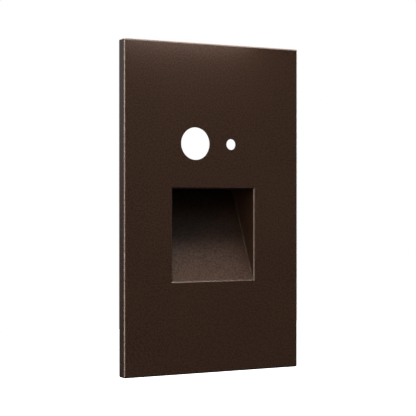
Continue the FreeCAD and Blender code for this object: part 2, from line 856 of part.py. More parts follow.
def output_capacitor():
    return rod(
        *output_capacitor_place, output_capacitor_radius, board_front - output_capacitor_length, board_front
    )


def on_board(place, size):
    """A square part that stands size[2] off the board's front."""
    x, z = place
    width, height, depth = size
    front = board_front - depth
    return block(x - width / 2, x + width / 2, front, board_front, z - height / 2, z + height / 2)


def film_capacitor():
    middle = (film_capacitor_left + film_capacitor_right) / 2
    width = film_capacitor_right - film_capacitor_left
    size = (width, film_capacitor_breadth, film_capacitor_height)
    return on_board((middle, film_capacitor_row), size)


def bridge_rectifier():
    return on_board(rectifier_place, rectifier_size)


def fuse():
    return rod(*fuse_place, fuse_radius, board_front - fuse_length, board_front)


def varistor():
    """Coated disc standing on edge, on its foot."""
    x, z = varistor_place
    centre = Vector(x - varistor_thickness / 2, board_front - varistor_radius, z)
    disc = Part.makeCylinder(varistor_radius, varistor_thickness, centre, Vector(1, 0, 0))
    foot = on_board(varistor_place, (0.75 * varistor_thickness, 1.4 * varistor_radius, varistor_radius / 3))
    return disc.fuse(foot)


def driver_chips():
    """Controller and switch, soldered to the board's back."""
    chips = []
    for place, size in ((controller_place, controller_size), (switch_place, switch_size)):
        chip = on_board(place, (*size, chip_height))
        chip.translate(Vector(0, board_back + chip_height - board_front, 0))
        chips.append(chip)
    return Part.makeCompound(chips)


def tube_along(points, radius):
    """Many-sided wire along straight runs joined by tangent arcs, and the arcs' radii."""
    points = [Vector(*p) for p in points]
    edges, radii, last = [], [], points[0]
    for before, corner, after in zip(points, points[1:], points[2:]):
        run_in, run_out = corner - before, after - corner
        turn = run_in.getAngle(run_out)
        arc_radius = 0.45 * min(run_in.Length, run_out.Length) / math.tan(turn / 2)
        cut = arc_radius * math.tan(turn / 2)
        run_in.normalize()
        run_out.normalize()
        start, end = corner - run_in * cut, corner + run_out * cut
        inward = run_out - run_in
        inward.normalize()
        middle = corner + inward * (arc_radius / math.cos(turn / 2) - arc_radius)
        edges.append(Part.makeLine(last, start))
        edges.append(Part.Arc(start, middle, end).toShape())
        radii.append(arc_radius)
        last = end
    edges.append(Part.makeLine(last, points[-1]))
    path = Part.Wire(edges)
    ring = closed_outline(polygon_corners(radius, wire_sides, points[0], points[1] - points[0]))
    return path.makePipeShell([ring], True, False), radii, path.Length


def lamp_wires():
    """The two leads from the driver board up over its top edge and through the slot to the lamp board."""
    landing_y = pocket_y + lamp_board_depth / 2 - wire_landing
    wires = []
    for side in (-1, 1):
        x = side * wire_column
        route = [
            (x, board_front, board_top - wire_inset),
            (x, board_front - wire_rise, board_top - wire_inset),
            (x, lamp_chamber_front + wire_run, wire_level),
            (x, landing_y, wire_level),
        ]
        wire, radii, length = tube_along(route, wire_radius)
        print("lamp wire", side, "length", round(length, 1), "arc radii", [round(r, 1) for r in radii])
        wires.append(wire)
    return Part.makeCompound(wires)


# ---- rear cover and lead inlet ----
def cover_seal():
    ring = tablet(
        housing_width, housing_height, housing_corner_radius, housing_back, cover_front, z=housing_middle
    )
    hole = block(-chamber_half, chamber_half, housing_back, cover_front, chamber_bottom, chamber_top)
    ring = ring.cut(hole.cut(Part.makeCompound(cover_bosses(housing_back, cover_front))))
    for x, z in cover_screw_places():
        ring = ring.cut(screw_hole(x, z, cover_screw_radius + screw_clearance, housing_back, cover_front))
    return ring.removeSplitter()


def rear_cover():
    """Cast lid with a raised middle panel, posts for the driver board and the inlet's hole."""
    lid = tablet(
        housing_width, housing_height, housing_corner_radius, cover_front, cover_back, z=housing_middle
    )
    panel_width = housing_width - 2 * cover_panel_margin
    panel_height = housing_height - 2 * cover_panel_margin
    panel_back = cover_back + cover_panel_height
    panel = tablet(
        panel_width, panel_height, housing_corner_radius, cover_back, panel_back, z=housing_middle
    )
    pad_radius = grommet_flange_radius + inlet_pad_margin
    inlet_pad = rod(inlet_column, inlet_row, pad_radius, cover_back, panel_back)
    posts = []
    half = cover_post_half
    for x, z in driver_screw_places():
        posts.append(block(x - half, x + half, board_back, cover_front, z - half, z + half))
    lid = lid.multiFuse([panel, inlet_pad] + posts)
    cuts = []
    for x, z in cover_screw_places():
        cuts.append(screw_hole(x, z, cover_screw_radius + screw_clearance, cover_front, cover_back))
    for x, z in driver_screw_places():
        depth = driver_screw_bite + screw_clearance
        cuts.append(screw_hole(x, z, small_screw_radius + screw_clearance, board_back, board_back + depth))
    neck = grommet_neck_radius + grommet_clearance
    cuts.append(rod(inlet_column, inlet_row, neck, cover_front, panel_back))
    return lid.cut(Part.makeCompound(cuts)).removeSplitter()


def cover_screws():
    screw = pan_screw(cover_screw_radius, cover_screw_length, cover_screw_head, cover_screw_head_height)
    seats = [Vector(x, cover_back, z) for x, z in cover_screw_places()]
    return Part.makeCompound([aim(screw, seat, towards_wall) for seat in seats])


def lead_grommet():
    """Turned rubber bush, snapped into the cover, with an open bore for the supply leads."""
    inner, outer = cover_front - grommet_flange, cover_back + cover_panel_height + grommet_flange
    profile = [
        (grommet_bore_radius, inner),
        (grommet_flange_radius, inner),
        (grommet_flange_radius, cover_front),
        (grommet_neck_radius, cover_front),
        (grommet_neck_radius, cover_back + cover_panel_height),
        (grommet_flange_radius, cover_back + cover_panel_height),
        (grommet_flange_radius, outer),
        (grommet_bore_radius, outer),
    ]
    face = Part.Face(closed_outline([Vector(inlet_column + r, y, inlet_row) for r, y in profile]))
    return face.revolve(Vector(inlet_column, 0, inlet_row), towards_wall, 360)


pieces = {
    "face_plate": face_plate,
    "plate_magnets": plate_magnets,
    "wall_gasket": wall_gasket,
    "mounting_bracket": mounting_bracket,
    "engine_screws": engine_screws,
    "ground_screw": ground_screw,
    "engine_housing": engine_housing,
    "window_lens": window_lens,
    "lens_gasket": lens_gasket,
    "reflector": reflector,
    "lamp_board": lamp_board,
    "lamp_chips": lamp_chips,
    "thermal_pad": thermal_pad,
    "lamp_screws": lamp_screws,
    "driver_board": driver_board,
    "driver_screws": driver_screws,
    "transformer_core": transformer_core,
    "transformer_coil": transformer_coil,
    "bulk_capacitor": bulk_capacitor,
    "output_capacitor": output_capacitor,
    "film_capacitor": film_capacitor,
    "bridge_rectifier": bridge_rectifier,
    "fuse": fuse,
    "varistor": varistor,
    "driver_chips": driver_chips,
    "lamp_wires": lamp_wires,
    "cover_seal": cover_seal,
    "rear_cover": rear_cover,
    "cover_screws": cover_screws,
    "lead_grommet": lead_grommet,
}

os.makedirs("parts", exist_ok=True)
for name, make in pieces.items():
    shape = make()
    shape.exportStep("parts/" + name + ".step")
    print(name, "solids", len(shape.Solids), "volume", round(shape.Volume, 2), "valid", shape.isValid())
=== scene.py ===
import math
import bmesh
import bpy
from mathutils import Matrix, Vector


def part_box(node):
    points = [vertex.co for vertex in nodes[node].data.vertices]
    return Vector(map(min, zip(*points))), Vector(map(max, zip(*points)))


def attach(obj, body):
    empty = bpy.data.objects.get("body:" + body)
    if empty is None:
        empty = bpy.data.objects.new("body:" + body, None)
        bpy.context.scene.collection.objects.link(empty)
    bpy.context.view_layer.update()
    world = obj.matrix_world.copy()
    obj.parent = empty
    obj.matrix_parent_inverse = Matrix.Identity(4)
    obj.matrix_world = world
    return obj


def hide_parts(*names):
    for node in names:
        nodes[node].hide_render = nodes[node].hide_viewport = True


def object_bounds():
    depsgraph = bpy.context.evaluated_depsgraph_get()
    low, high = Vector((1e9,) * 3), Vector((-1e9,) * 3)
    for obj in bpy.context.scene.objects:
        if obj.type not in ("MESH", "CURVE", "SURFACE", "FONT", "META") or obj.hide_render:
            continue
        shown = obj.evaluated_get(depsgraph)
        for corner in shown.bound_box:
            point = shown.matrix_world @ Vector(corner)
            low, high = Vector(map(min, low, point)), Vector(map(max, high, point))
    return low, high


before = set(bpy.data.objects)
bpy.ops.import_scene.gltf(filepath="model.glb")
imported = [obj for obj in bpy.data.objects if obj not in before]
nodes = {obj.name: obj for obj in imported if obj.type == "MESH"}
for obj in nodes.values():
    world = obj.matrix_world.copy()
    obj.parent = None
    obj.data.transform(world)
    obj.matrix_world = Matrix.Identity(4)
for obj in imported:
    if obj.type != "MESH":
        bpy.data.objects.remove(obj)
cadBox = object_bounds()
scene = bpy.context.scene
mm = 0.001
print("frame loaded:", len(nodes), "nodes")


def addObject(name, data):
    thing = bpy.data.objects.new(name, data)
    scene.collection.objects.link(thing)
    return thing


def addLooking(name, data, place, look):
    thing = addObject(name, data)
    thing.location, thing.rotation_mode = place, "QUATERNION"
    thing.rotation_quaternion = look.to_track_quat("-Z", "Y")
    return thing


# the camera stands left of the plate, level with its middle (degrees and millimetres)
shot = {"yaw": 28.29, "pitch": -0.12, "distance": 498.2, "aim": (-0.22, -1.5, 1.13),
        "sensor": 36.0, "focalPixels": 1279.0, "frameWidth": 416, "clip": (0.02, 50)}


def makeCamera():
    yaw, pitch = math.radians(shot["yaw"]), math.radians(shot["pitch"])
    level = Vector((math.sin(yaw), math.cos(yaw), 0))
    forward = level * math.cos(pitch) + Vector((0, 0, math.sin(pitch)))
    data = bpy.data.cameras.new("camera")
    data.sensor_width = shot["sensor"]
    data.lens = shot["sensor"] * shot["focalPixels"] / shot["frameWidth"]
    data.clip_start, data.clip_end = shot["clip"]
    place = (Vector(shot["aim"]) - level * shot["distance"]) * mm
    scene.camera = addLooking("camera", data, place, forward)


# node helpers: an input is either a constant or a socket to link
def feed(tree, socket, value):
    if isinstance(value, bpy.types.NodeSocket):
        tree.links.new(value, socket)
    elif socket.type == "RGBA":
        socket.default_value = (*value[:3], 1.0)
    else:
        socket.default_value = value


def addNode(tree, kind, inputs=None, **settings):
    node = tree.nodes.new("ShaderNode" + kind)
    for name, value in settings.items():
        setattr(node, name, value)
    for key, value in (inputs or {}).items():
        feed(tree, node.inputs[key], value)
    return node


def maths(tree, operation, a, b=0.0, clamp=False):
    return addNode(tree, "Math", {0: a, 1: b}, operation=operation, use_clamp=clamp).outputs[0]


def plus(tree, a, b, clamp=False):
    return maths(tree, "ADD", a, b, clamp)


def minus(tree, a, b):
    return maths(tree, "SUBTRACT", a, b)


def times(tree, a, b, clamp=False):
    return maths(tree, "MULTIPLY", a, b, clamp)


def weigh(tree, a, shareA, b, shareB):
    return plus(tree, times(tree, a, shareA), times(tree, b, shareB))


def ramp(tree, value, low, high, toLow=0.0, toHigh=1.0):
    inputs = {"Value": value, "From Min": low, "From Max": high, "To Min": toLow, "To Max": toHigh}
    return addNode(tree, "MapRange", inputs, interpolation_type="SMOOTHSTEP").outputs["Result"]


spread = (0.3, 0.7)  # most of a noise texture's values lie between these


def blendColour(tree, amount, a, b):
    node = addNode(tree, "Mix", data_type="RGBA")
    for key, kind, value in (("Factor", "VALUE", amount), ("A", "RGBA", a), ("B", "RGBA", b)):
        feed(tree, [s for s in node.inputs if s.name == key and s.type == kind][0], value)
    return [s for s in node.outputs if s.type == "RGBA"][0]


def splitXYZ(tree, vector):
    return addNode(tree, "SeparateXYZ", {0: vector}).outputs


def firstOf(tree, colour):
    return addNode(tree, "SeparateColor", {0: colour}).outputs[0]


def objectPoint(tree):
    return addNode(tree, "TexCoord").outputs["Object"]


def scaleFor(tree, size):  # size is that of a feature in millimetres, a number or a socket
    return maths(tree, "DIVIDE", 1 / mm, size) if isinstance(size, bpy.types.NodeSocket) else 1 / (size * mm)


def noise(tree, point, size, detail=2.0, rough=0.5, distort=0.0):
    inputs = {"Vector": point, "Scale": scaleFor(tree, size), "Detail": detail, "Roughness": rough,
              "Distortion": distort}
    return addNode(tree, "TexNoise", inputs).outputs["Fac"]


def cells(tree, point, size, **settings):
    return addNode(tree, "TexVoronoi", {"Vector": point, "Scale": scaleFor(tree, size)}, **settings).outputs


def newGroup(name, inputs, outputs):
    tree = bpy.data.node_groups.new(name, "ShaderNodeTree")
    for label, default in inputs.items():
        socket = tree.interface.new_socket(name=label, in_out="INPUT", socket_type="NodeSocketFloat")
        socket.default_value = default
    for label in outputs:
        tree.interface.new_socket(name=label, in_out="OUTPUT", socket_type="NodeSocketFloat")
    return tree, tree.nodes.new("NodeGroupInput").outputs, tree.nodes.new("NodeGroupOutput").inputs


def putOut(tree, result, values):
    for label, value in values.items():
        tree.links.new(value, result[label])
    return tree


def useGroup(tree, group, inputs):
    return addNode(tree, "Group", inputs, node_tree=group).outputs


# powder coat: small rounded nibs over a slow orange-peel wave, and a drift in the tone
def makeCoatGrain():
    tree, given, result = newGroup("coatGrain", {"Nib": 0.3, "Peel": 1.6, "Drift": 22.0}, ["Height", "Tone", "Fleck"])
    point = objectPoint(tree)
    nib = noise(tree, point, given["Nib"], rough=0.6)
    peel = noise(tree, point, given["Peel"], detail=1.0)
    drift = noise(tree, point, given["Drift"], detail=3.0)
    return putOut(tree, result, {"Height": weigh(tree, nib, 0.55, peel, 0.45), "Tone": ramp(tree, drift, *spread),
                                 "Fleck": ramp(tree, nib, 0.38, 0.62)})


# worn edges: where the rounded normal leaves the true one, broken up by noise
def makeEdgeWear():
    tree, given, result = newGroup("edgeWear", {"Width": 0.3, "Patch": 2.0, "Amount": 0.5}, ["Mask"])
    rounded = addNode(tree, "Bevel", {"Radius": times(tree, given["Width"], mm)}, samples=4).outputs["Normal"]
    true = addNode(tree, "NewGeometry").outputs["True Normal"]
    along = addNode(tree, "VectorMath", {0: rounded, 1: true}, operation="DOT_PRODUCT").outputs["Value"]
    edge = ramp(tree, minus(tree, 1.0, along), 0.0, 0.12)
    patch = noise(tree, objectPoint(tree), given["Patch"], detail=4.0)
    broken = times(tree, edge, ramp(tree, patch, 0.35, 0.65))
    return putOut(tree, result, {"Mask": times(tree, broken, given["Amount"], clamp=True)})


# dust: lies on what faces up, in soft patches
def makeDust():
    tree, given, result = newGroup("dust", {"Patch": 6.0, "Amount": 0.3}, ["Mask"])
    normal = addNode(tree, "NewGeometry").outputs["Normal"]
    up = ramp(tree, splitXYZ(tree, normal)["Z"], 0.2, 0.95)
    patch = noise(tree, objectPoint(tree), given["Patch"], detail=5.0)
    cover = times(tree, up, ramp(tree, patch, 0.3, 0.75, 0.3, 1.0))
    return putOut(tree, result, {"Mask": times(tree, cover, given["Amount"], clamp=True)})


# casting skin: shot-blasted dimples, a few pits, stains that drift
def makeCastSkin():
    tree, given, result = newGroup("castSkin", {"Dimple": 0.4, "PitGap": 2.857143, "Stain": 9.0},
                                   ["Height", "Pit", "Tone"])
    point = objectPoint(tree)
    dimple = cells(tree, point, given["Dimple"], feature="SMOOTH_F1")["Distance"]
    fine = noise(tree, point, given["Dimple"], detail=3.0)
    pits = cells(tree, point, given["PitGap"])
    chosen = maths(tree, "GREATER_THAN", firstOf(tree, pits["Color"]), 0.8)  # one cell in five has its pit
    stain = noise(tree, point, given["Stain"], detail=4.0, distort=0.6)
    return putOut(tree, result, {"Height": weigh(tree, dimple, 0.6, fine, 0.4),
                                 "Pit": times(tree, ramp(tree, pits["Distance"], 0.16, 0.05), chosen),
                                 "Tone": ramp(tree, stain, *spread)})


# rolled or plated metal: fine lines along one axis and the blotches of the plating bath
def makeRolled():
    tree, given, result = newGroup("rolled", {"Line": 0.12, "Stretch": 40.0, "Blotch": 5.0}, ["Height", "Tone"])
    point = objectPoint(tree)
    parts = splitXYZ(tree, point)
    along = maths(tree, "DIVIDE", parts["Z"], given["Stretch"])
    drawn = addNode(tree, "CombineXYZ", {"X": parts["X"], "Y": parts["Y"], "Z": along}).outputs[0]
    blotch = firstOf(tree, cells(tree, point, given["Blotch"])["Color"])
    cloud = noise(tree, point, given["Blotch"], detail=5.0)
    return putOut(tree, result, {"Height": noise(tree, drawn, given["Line"]),
                                 "Tone": weigh(tree, blotch, 0.4, cloud, 0.6)})


# moulded plastic, rubber or resin: spark-eroded or poured surface
def makeMoulded():
    tree, given, result = newGroup("moulded", {"Grain": 0.15, "Flow": 4.0}, ["Height", "Tone"])
    point = objectPoint(tree)
    flow = noise(tree, point, given["Flow"], distort=1.2)
    return putOut(tree, result, {"Height": noise(tree, point, given["Grain"], detail=3.0, rough=0.7),
                                 "Tone": ramp(tree, flow, *spread)})


# bevels rubbed smooth by hands and sleeves, with a painted highlight laid on them. The coat is thickest along both
# edges of a bevel, so only a band between them is smoothed and carries the painted highlight: its middle on the outer
# bevels, and next to the throat round the opening
def makeRubbedAndHighlightBevel():
    tree, given, result = newGroup("rubbedAndHighlightBevel", {"HalfWidth": 38.0, "HalfHeight": 63.5, "Front": -6.0, "Deep": 0.5,
                                                   "OuterEdge": 0.4, "FaceEdge": 0.6, "ThroatEdge": 0.1}, ["Mask"])
    normal = addNode(tree, "NewGeometry").outputs["True Normal"]
    facing = splitXYZ(tree, addNode(tree, "VectorMath", {0: normal}, operation="ABSOLUTE").outputs[0])
    most = maths(tree, "MAXIMUM", maths(tree, "MAXIMUM", facing["X"], facing["Y"]), facing["Z"])
    slanted = ramp(tree, most, 0.86, 0.74)  # a flat face has 1 and a bevel 0.71
    inMillimetres = addNode(tree, "VectorMath", {0: objectPoint(tree), "Scale": 1 / mm}, operation="SCALE")
    parts = splitXYZ(tree, inMillimetres.outputs[0])
    across = maths(tree, "DIVIDE", maths(tree, "ABSOLUTE", parts["X"]), given["HalfWidth"])
    upward = maths(tree, "DIVIDE", maths(tree, "ABSOLUTE", parts["Z"]), given["HalfHeight"])
    outer = ramp(tree, maths(tree, "MAXIMUM", across, upward), 0.95, 0.97)  # 1 at the rim, 0 at the opening
    depth = maths(tree, "DIVIDE", minus(tree, parts["Y"], given["Front"]), given["Deep"])
    nearFace = ramp(tree, depth, 0.0, ramp(tree, outer, 0.0, 1.0, given["FaceEdge"], given["OuterEdge"]))
    nearBack = ramp(tree, minus(tree, 1.0, depth), 0.0,
                    ramp(tree, outer, 0.0, 1.0, given["ThroatEdge"], given["OuterEdge"]))
    band = times(tree, nearFace, nearBack)
    return putOut(tree, result, {"Mask": times(tree, slanted, band, clamp=True)})


coatGrain = makeCoatGrain()
edgeWear = makeEdgeWear()
dust = makeDust()
castSkin = makeCastSkin()
rolled = makeRolled()
moulded = makeMoulded()
rubbedAndHighlightBevel = makeRubbedAndHighlightBevel()
print("shared finishes ready")


def newMaterial(name, plain):
    material = bpy.data.materials.new(name)
    material.use_nodes = True
    shader = material.node_tree.nodes["Principled BSDF"]
    for key, value in plain.items():  # what is the same all over is set on the shader itself
        shader.inputs[key].default_value = value
    return material, material.node_tree, shader


def giveSurface(tree, shader, colour, rough, height, depth):
    bump = addNode(tree, "Bump", {"Height": height, "Strength": 1.0, "Distance": depth * mm})
    for key, value in (("Base Color", colour), ("Roughness", rough), ("Normal", bump.outputs["Normal"])):
        feed(tree, shader.inputs[key], value)


bronze = {"colour": (0.0215, 0.0093, 0.0043), "warm": (0.0247, 0.0111, 0.0054), "fleck": (0.066, 0.0325, 0.0186),
          "wornAndHighlight": (0.095, 0.077, 0.070), "dustColour": (0.20, 0.17, 0.14), "fleckShare": 0.78,
          "nib": 0.60, "peel": 1.7, "depth": 0.010, "smooth": 0.38, "rough": 0.48, "smoothest": 0.1,
          "edge": {"Width": 0.35, "Patch": 3.0, "Amount": 1.0}, "wear": 0.5, "polish": 0.22,
          "dusting": {"Patch": 7.0, "Amount": 0.03}, "dustRough": 0.5,
          "rimHighlight": 0.8, "rimPolish": 0.30, "rimMetal": 0.48, "rimLevel": 0.9,
          "rim": {"Deep": 0.5, "OuterEdge": 0.38, "FaceEdge": 0.75, "ThroatEdge": 0.05}}


def makeBronzeCoat():
    material, tree, shader = newMaterial("bronzePowderCoat", {"Specular IOR Level": 0.5})
    grain = useGroup(tree, coatGrain, {"Nib": bronze["nib"], "Peel": bronze["peel"]})
    worn = useGroup(tree, edgeWear, bronze["edge"])["Mask"]
    dusty = useGroup(tree, dust, bronze["dusting"])["Mask"]
    rim = useGroup(tree, rubbedAndHighlightBevel, {"HalfWidth": cadBox[1].x / mm, "HalfHeight": cadBox[1].z / mm,
                                       "Front": cadBox[0].y / mm, **bronze["rim"]})["Mask"]
    # worn edges are lighter from wear, and the bevel band is lighter as a painted highlight
    wornOrHighlight = maths(tree, "MAXIMUM", times(tree, worn, bronze["wear"]), times(tree, rim, bronze["rimHighlight"]))
    colour = blendColour(tree, grain["Tone"], bronze["colour"], bronze["warm"])
    colour = blendColour(tree, times(tree, grain["Fleck"], bronze["fleckShare"]), colour, bronze["fleck"])
    colour = blendColour(tree, wornOrHighlight, colour, bronze["wornAndHighlight"])
    colour = blendColour(tree, dusty, colour, bronze["dustColour"])
    rough = ramp(tree, grain["Fleck"], 0.0, 1.0, bronze["smooth"], bronze["rough"])
    rough = minus(tree, rough, times(tree, worn, bronze["polish"]))
    rough = minus(tree, rough, times(tree, rim, bronze["rimPolish"]))
    rough = maths(tree, "MAXIMUM", plus(tree, rough, times(tree, dusty, bronze["dustRough"])), bronze["smoothest"])
    tree.links.new(times(tree, rim, bronze["rimMetal"]), shader.inputs["Metallic"])
    levelled = minus(tree, 1.0, times(tree, rim, bronze["rimLevel"]))
    giveSurface(tree, shader, colour, rough, times(tree, grain["Height"], levelled), bronze["depth"])
    return material


castMetal = {"bright": (0.42, 0.42, 0.415), "stained": (0.31, 0.31, 0.305), "pitShade": (0.10, 0.095, 0.09),
             "worn": (0.64, 0.64, 0.63), "skin": {"Dimple": 0.45, "Stain": 9.0}, "depth": 0.03,
             "edge": {"Width": 0.4, "Patch": 1.5, "Amount": 0.8}, "dusting": {"Patch": 5.0, "Amount": 0.12},
             "smooth": 0.42, "rough": 0.60, "polish": 0.15}


def makeCastAluminium():
    material, tree, shader = newMaterial("castAluminium", {"Metallic": 0.9})
    skin = useGroup(tree, castSkin, castMetal["skin"])
    worn = useGroup(tree, edgeWear, castMetal["edge"])["Mask"]
    dusty = useGroup(tree, dust, castMetal["dusting"])["Mask"]
    colour = blendColour(tree, skin["Tone"], castMetal["bright"], castMetal["stained"])
    # pits are painted darker, as painted shade in them
    colour = blendColour(tree, skin["Pit"], colour, castMetal["pitShade"])
    colour = blendColour(tree, worn, colour, castMetal["worn"])
    colour = blendColour(tree, dusty, colour, bronze["dustColour"])
    rough = ramp(tree, skin["Tone"], 0.0, 1.0, castMetal["smooth"], castMetal["rough"])
    rough = minus(tree, rough, times(tree, worn, castMetal["polish"]))
    giveSurface(tree, shader, colour, rough, minus(tree, skin["Height"], skin["Pit"]), castMetal["depth"])
    return material


# plated metals: (material, light tone, dark tone, worn edges, roughness, line, blotch)
platedSkin = {"stretch": 30.0, "edge": {"Width": 0.25, "Patch": 1.0, "Amount": 0.9}, "sheen": 0.08, "haze": 0.1,
              "depth": 0.006}
plating = {
    "bracket": ("zincPlatedSheet", (0.68, 0.68, 0.65), (0.57, 0.585, 0.59), (0.82, 0.82, 0.80), 0.36, 0.14, 2.4),
    "screw": ("zincPlatedScrew", (0.74, 0.73, 0.69), (0.58, 0.59, 0.60), (0.85, 0.85, 0.83), 0.28, 0.08, 1.2),
    "magnet": ("nickelPlatedMagnet", (0.76, 0.74, 0.70), (0.66, 0.65, 0.62), (0.85, 0.83, 0.80), 0.16, 0.06, 2.0),
    "ground": ("greenDyedZinc", (0.05, 0.34, 0.13), (0.02, 0.20, 0.07), (0.60, 0.62, 0.55), 0.34, 0.08, 1.5)}


def makePlated(name, light, dark, wornColour, rough, line, blotch):
    material, tree, shader = newMaterial(name, {"Metallic": 1.0})
    skin = useGroup(tree, rolled, {"Line": line, "Stretch": platedSkin["stretch"], "Blotch": blotch})
    worn = useGroup(tree, edgeWear, platedSkin["edge"])["Mask"]
    colour = blendColour(tree, ramp(tree, skin["Tone"], 0.25, 0.75), light, dark)
    colour = blendColour(tree, worn, colour, wornColour)
    dull = ramp(tree, skin["Tone"], 0.2, 0.8, rough - platedSkin["sheen"], rough + platedSkin["haze"])
    giveSurface(tree, shader, colour, dull, skin["Height"], platedSkin["depth"])
    return material


foam = {"colour": (0.018, 0.018, 0.019), "skin": (0.035, 0.035, 0.036), "rough": 0.9, "cell": 0.35, "depth": 0.12,
        "flow": {"Grain": 0.2, "Flow": 5.0}, "flowShare": 0.4}


def makeFoam():
    material, tree, shader = newMaterial("closedCellFoam", {"Specular IOR Level": 0.25})
    bubbles = cells(tree, objectPoint(tree), foam["cell"], feature="SMOOTH_F1")["Distance"]
    flow = useGroup(tree, moulded, foam["flow"])
    wall = ramp(tree, bubbles, 0.15, 0.5)
    # cell middles are darker than the walls between them: painted shade in the pores
    colour = blendColour(tree, wall, foam["colour"], foam["skin"])
    colour = blendColour(tree, times(tree, flow["Tone"], foam["flowShare"]), colour, foam["skin"])
    giveSurface(tree, shader, colour, foam["rough"], wall, foam["depth"])
    return material


# moulded, poured and frosted finishes: (material, light tone, dark tone, roughness, grain, flow, depth)
resinSkin = {"edge": {"Width": 0.2, "Patch": 0.8, "Amount": 0.7}, "sheen": 0.05, "haze": 0.07,
             "plain": {"glass": {"Transmission Weight": 1.0, "IOR": 1.5, "Metallic": 0.0},
                       "silicone": {"Transmission Weight": 0.35, "IOR": 1.41}},
             "worn": {"ferrite": (0.09, 0.09, 0.10), "rubber": (0.07, 0.07, 0.072)}}
resins = {
    "glass": ("frostedGlass", (0.93, 0.97, 0.95), (0.895, 0.945, 0.92), 0.43, 0.06, 3.0, 0.01),
    "silicone": ("clearSilicone", (0.80, 0.80, 0.77), (0.70, 0.70, 0.67), 0.32, 0.3, 2.0, 0.01),
    "white": ("whiteReflector", (0.86, 0.86, 0.84), (0.80, 0.80, 0.78), 0.22, 0.3, 4.0, 0.004),
    "pad": ("thermalPad", (0.36, 0.38, 0.42), (0.30, 0.32, 0.36), 0.75, 0.12, 2.0, 0.02),
    "ferrite": ("ferrite", (0.045, 0.045, 0.05), (0.028, 0.028, 0.032), 0.6, 0.1, 1.5, 0.02),
    "tape": ("windingTape", (0.72, 0.46, 0.05), (0.60, 0.36, 0.03), 0.24, 0.5, 1.2, 0.008),
    "sleeve": ("capacitorSleeve", (0.020, 0.022, 0.045), (0.014, 0.015, 0.03), 0.3, 0.4, 3.0, 0.006),
    "boxCapacitor": ("boxCapacitor", (0.025, 0.085, 0.32), (0.018, 0.065, 0.26), 0.35, 0.2, 3.0, 0.01),
    "chip": ("chipPackage", (0.022, 0.022, 0.023), (0.016, 0.016, 0.017), 0.55, 0.08, 1.0, 0.01),
    "varistor": ("varistorCoat", (0.03, 0.10, 0.32), (0.02, 0.075, 0.25), 0.3, 0.5, 1.5, 0.03),
    "rubber": ("blackRubber", (0.020, 0.020, 0.021), (0.030, 0.030, 0.031), 0.62, 0.12, 2.5, 0.012),
    "seal": ("redSilicone", (0.36, 0.055, 0.03), (0.28, 0.04, 0.022), 0.5, 0.2, 3.0, 0.012),
    "lamp": ("phosphor", (0.86, 0.62, 0.08), (0.80, 0.55, 0.05), 0.4, 0.1, 0.5, 0.004),
    "wire": ("wireInsulation", (0.60, 0.60, 0.57), (0.52, 0.52, 0.49), 0.38, 0.4, 3.0, 0.004)}


def makeResin(finish, name, light, dark, rough, grain, flow, depth):
    material, tree, shader = newMaterial(name, resinSkin["plain"].get(finish, {}))
    skin = useGroup(tree, moulded, {"Grain": grain, "Flow": flow})
    colour = blendColour(tree, skin["Tone"], light, dark)
    if finish in resinSkin["worn"]:
        worn = useGroup(tree, edgeWear, resinSkin["edge"])["Mask"]
        colour = blendColour(tree, worn, colour, resinSkin["worn"][finish])
    dull = ramp(tree, skin["Height"], *spread, rough - resinSkin["sheen"], rough + resinSkin["haze"])
    giveSurface(tree, shader, colour, dull, skin["Height"], depth)
    return material


# circuit boards: (material, solder mask, copper under it, size of the copper areas)
circuit = {"scatter": 0.85, "gap": (0.07, 0.12), "skin": {"Grain": 0.2, "Flow": 6.0}, "stain": (0.02, 0.06, 0.02),
           "stainShare": 0.25, "smooth": 0.28, "rough": 0.42, "depth": 0.035}
boards = {"board": ("greenBoard", (0.012, 0.085, 0.030), (0.030, 0.15, 0.055), 3.4),
          "lampBoard": ("whiteBoard", (0.82, 0.82, 0.80), (0.88, 0.88, 0.86), 3.0)}


def makeCircuitBoard(name, mask, trace, pitch):
    material, tree, shader = newMaterial(name, {})
    parts = splitXYZ(tree, objectPoint(tree))
    flat = addNode(tree, "CombineXYZ", {"X": parts["X"], "Y": parts["Z"]}).outputs[0]
    inputs = {"Vector": flat, "Scale": 1 / (pitch * mm), "Randomness": circuit["scatter"]}
    near, after = [addNode(tree, "TexVoronoi", inputs, feature=rank, voronoi_dimensions="2D",
                           distance="CHEBYCHEV").outputs["Distance"] for rank in ("F1", "F2")]
    copper = ramp(tree, minus(tree, after, near), *circuit["gap"])  # copper areas with narrow gaps
    skin = useGroup(tree, moulded, circuit["skin"])
    colour = blendColour(tree, copper, mask, trace)
    colour = blendColour(tree, times(tree, skin["Tone"], circuit["stainShare"]), colour, circuit["stain"])
    dull = ramp(tree, skin["Height"], *spread, circuit["smooth"], circuit["rough"])
    giveSurface(tree, shader, colour, dull, weigh(tree, copper, 0.6, skin["Height"], 0.2), circuit["depth"])
    return material


makeCamera()
materials = {"bronze": makeBronzeCoat(), "cast": makeCastAluminium(), "foam": makeFoam()}
for finish, values in plating.items():
    materials[finish] = makePlated(*values)
for finish, values in resins.items():
    materials[finish] = makeResin(finish, *values)
for finish, values in boards.items():
    materials[finish] = makeCircuitBoard(*values)
print("materials ready:", len(materials))

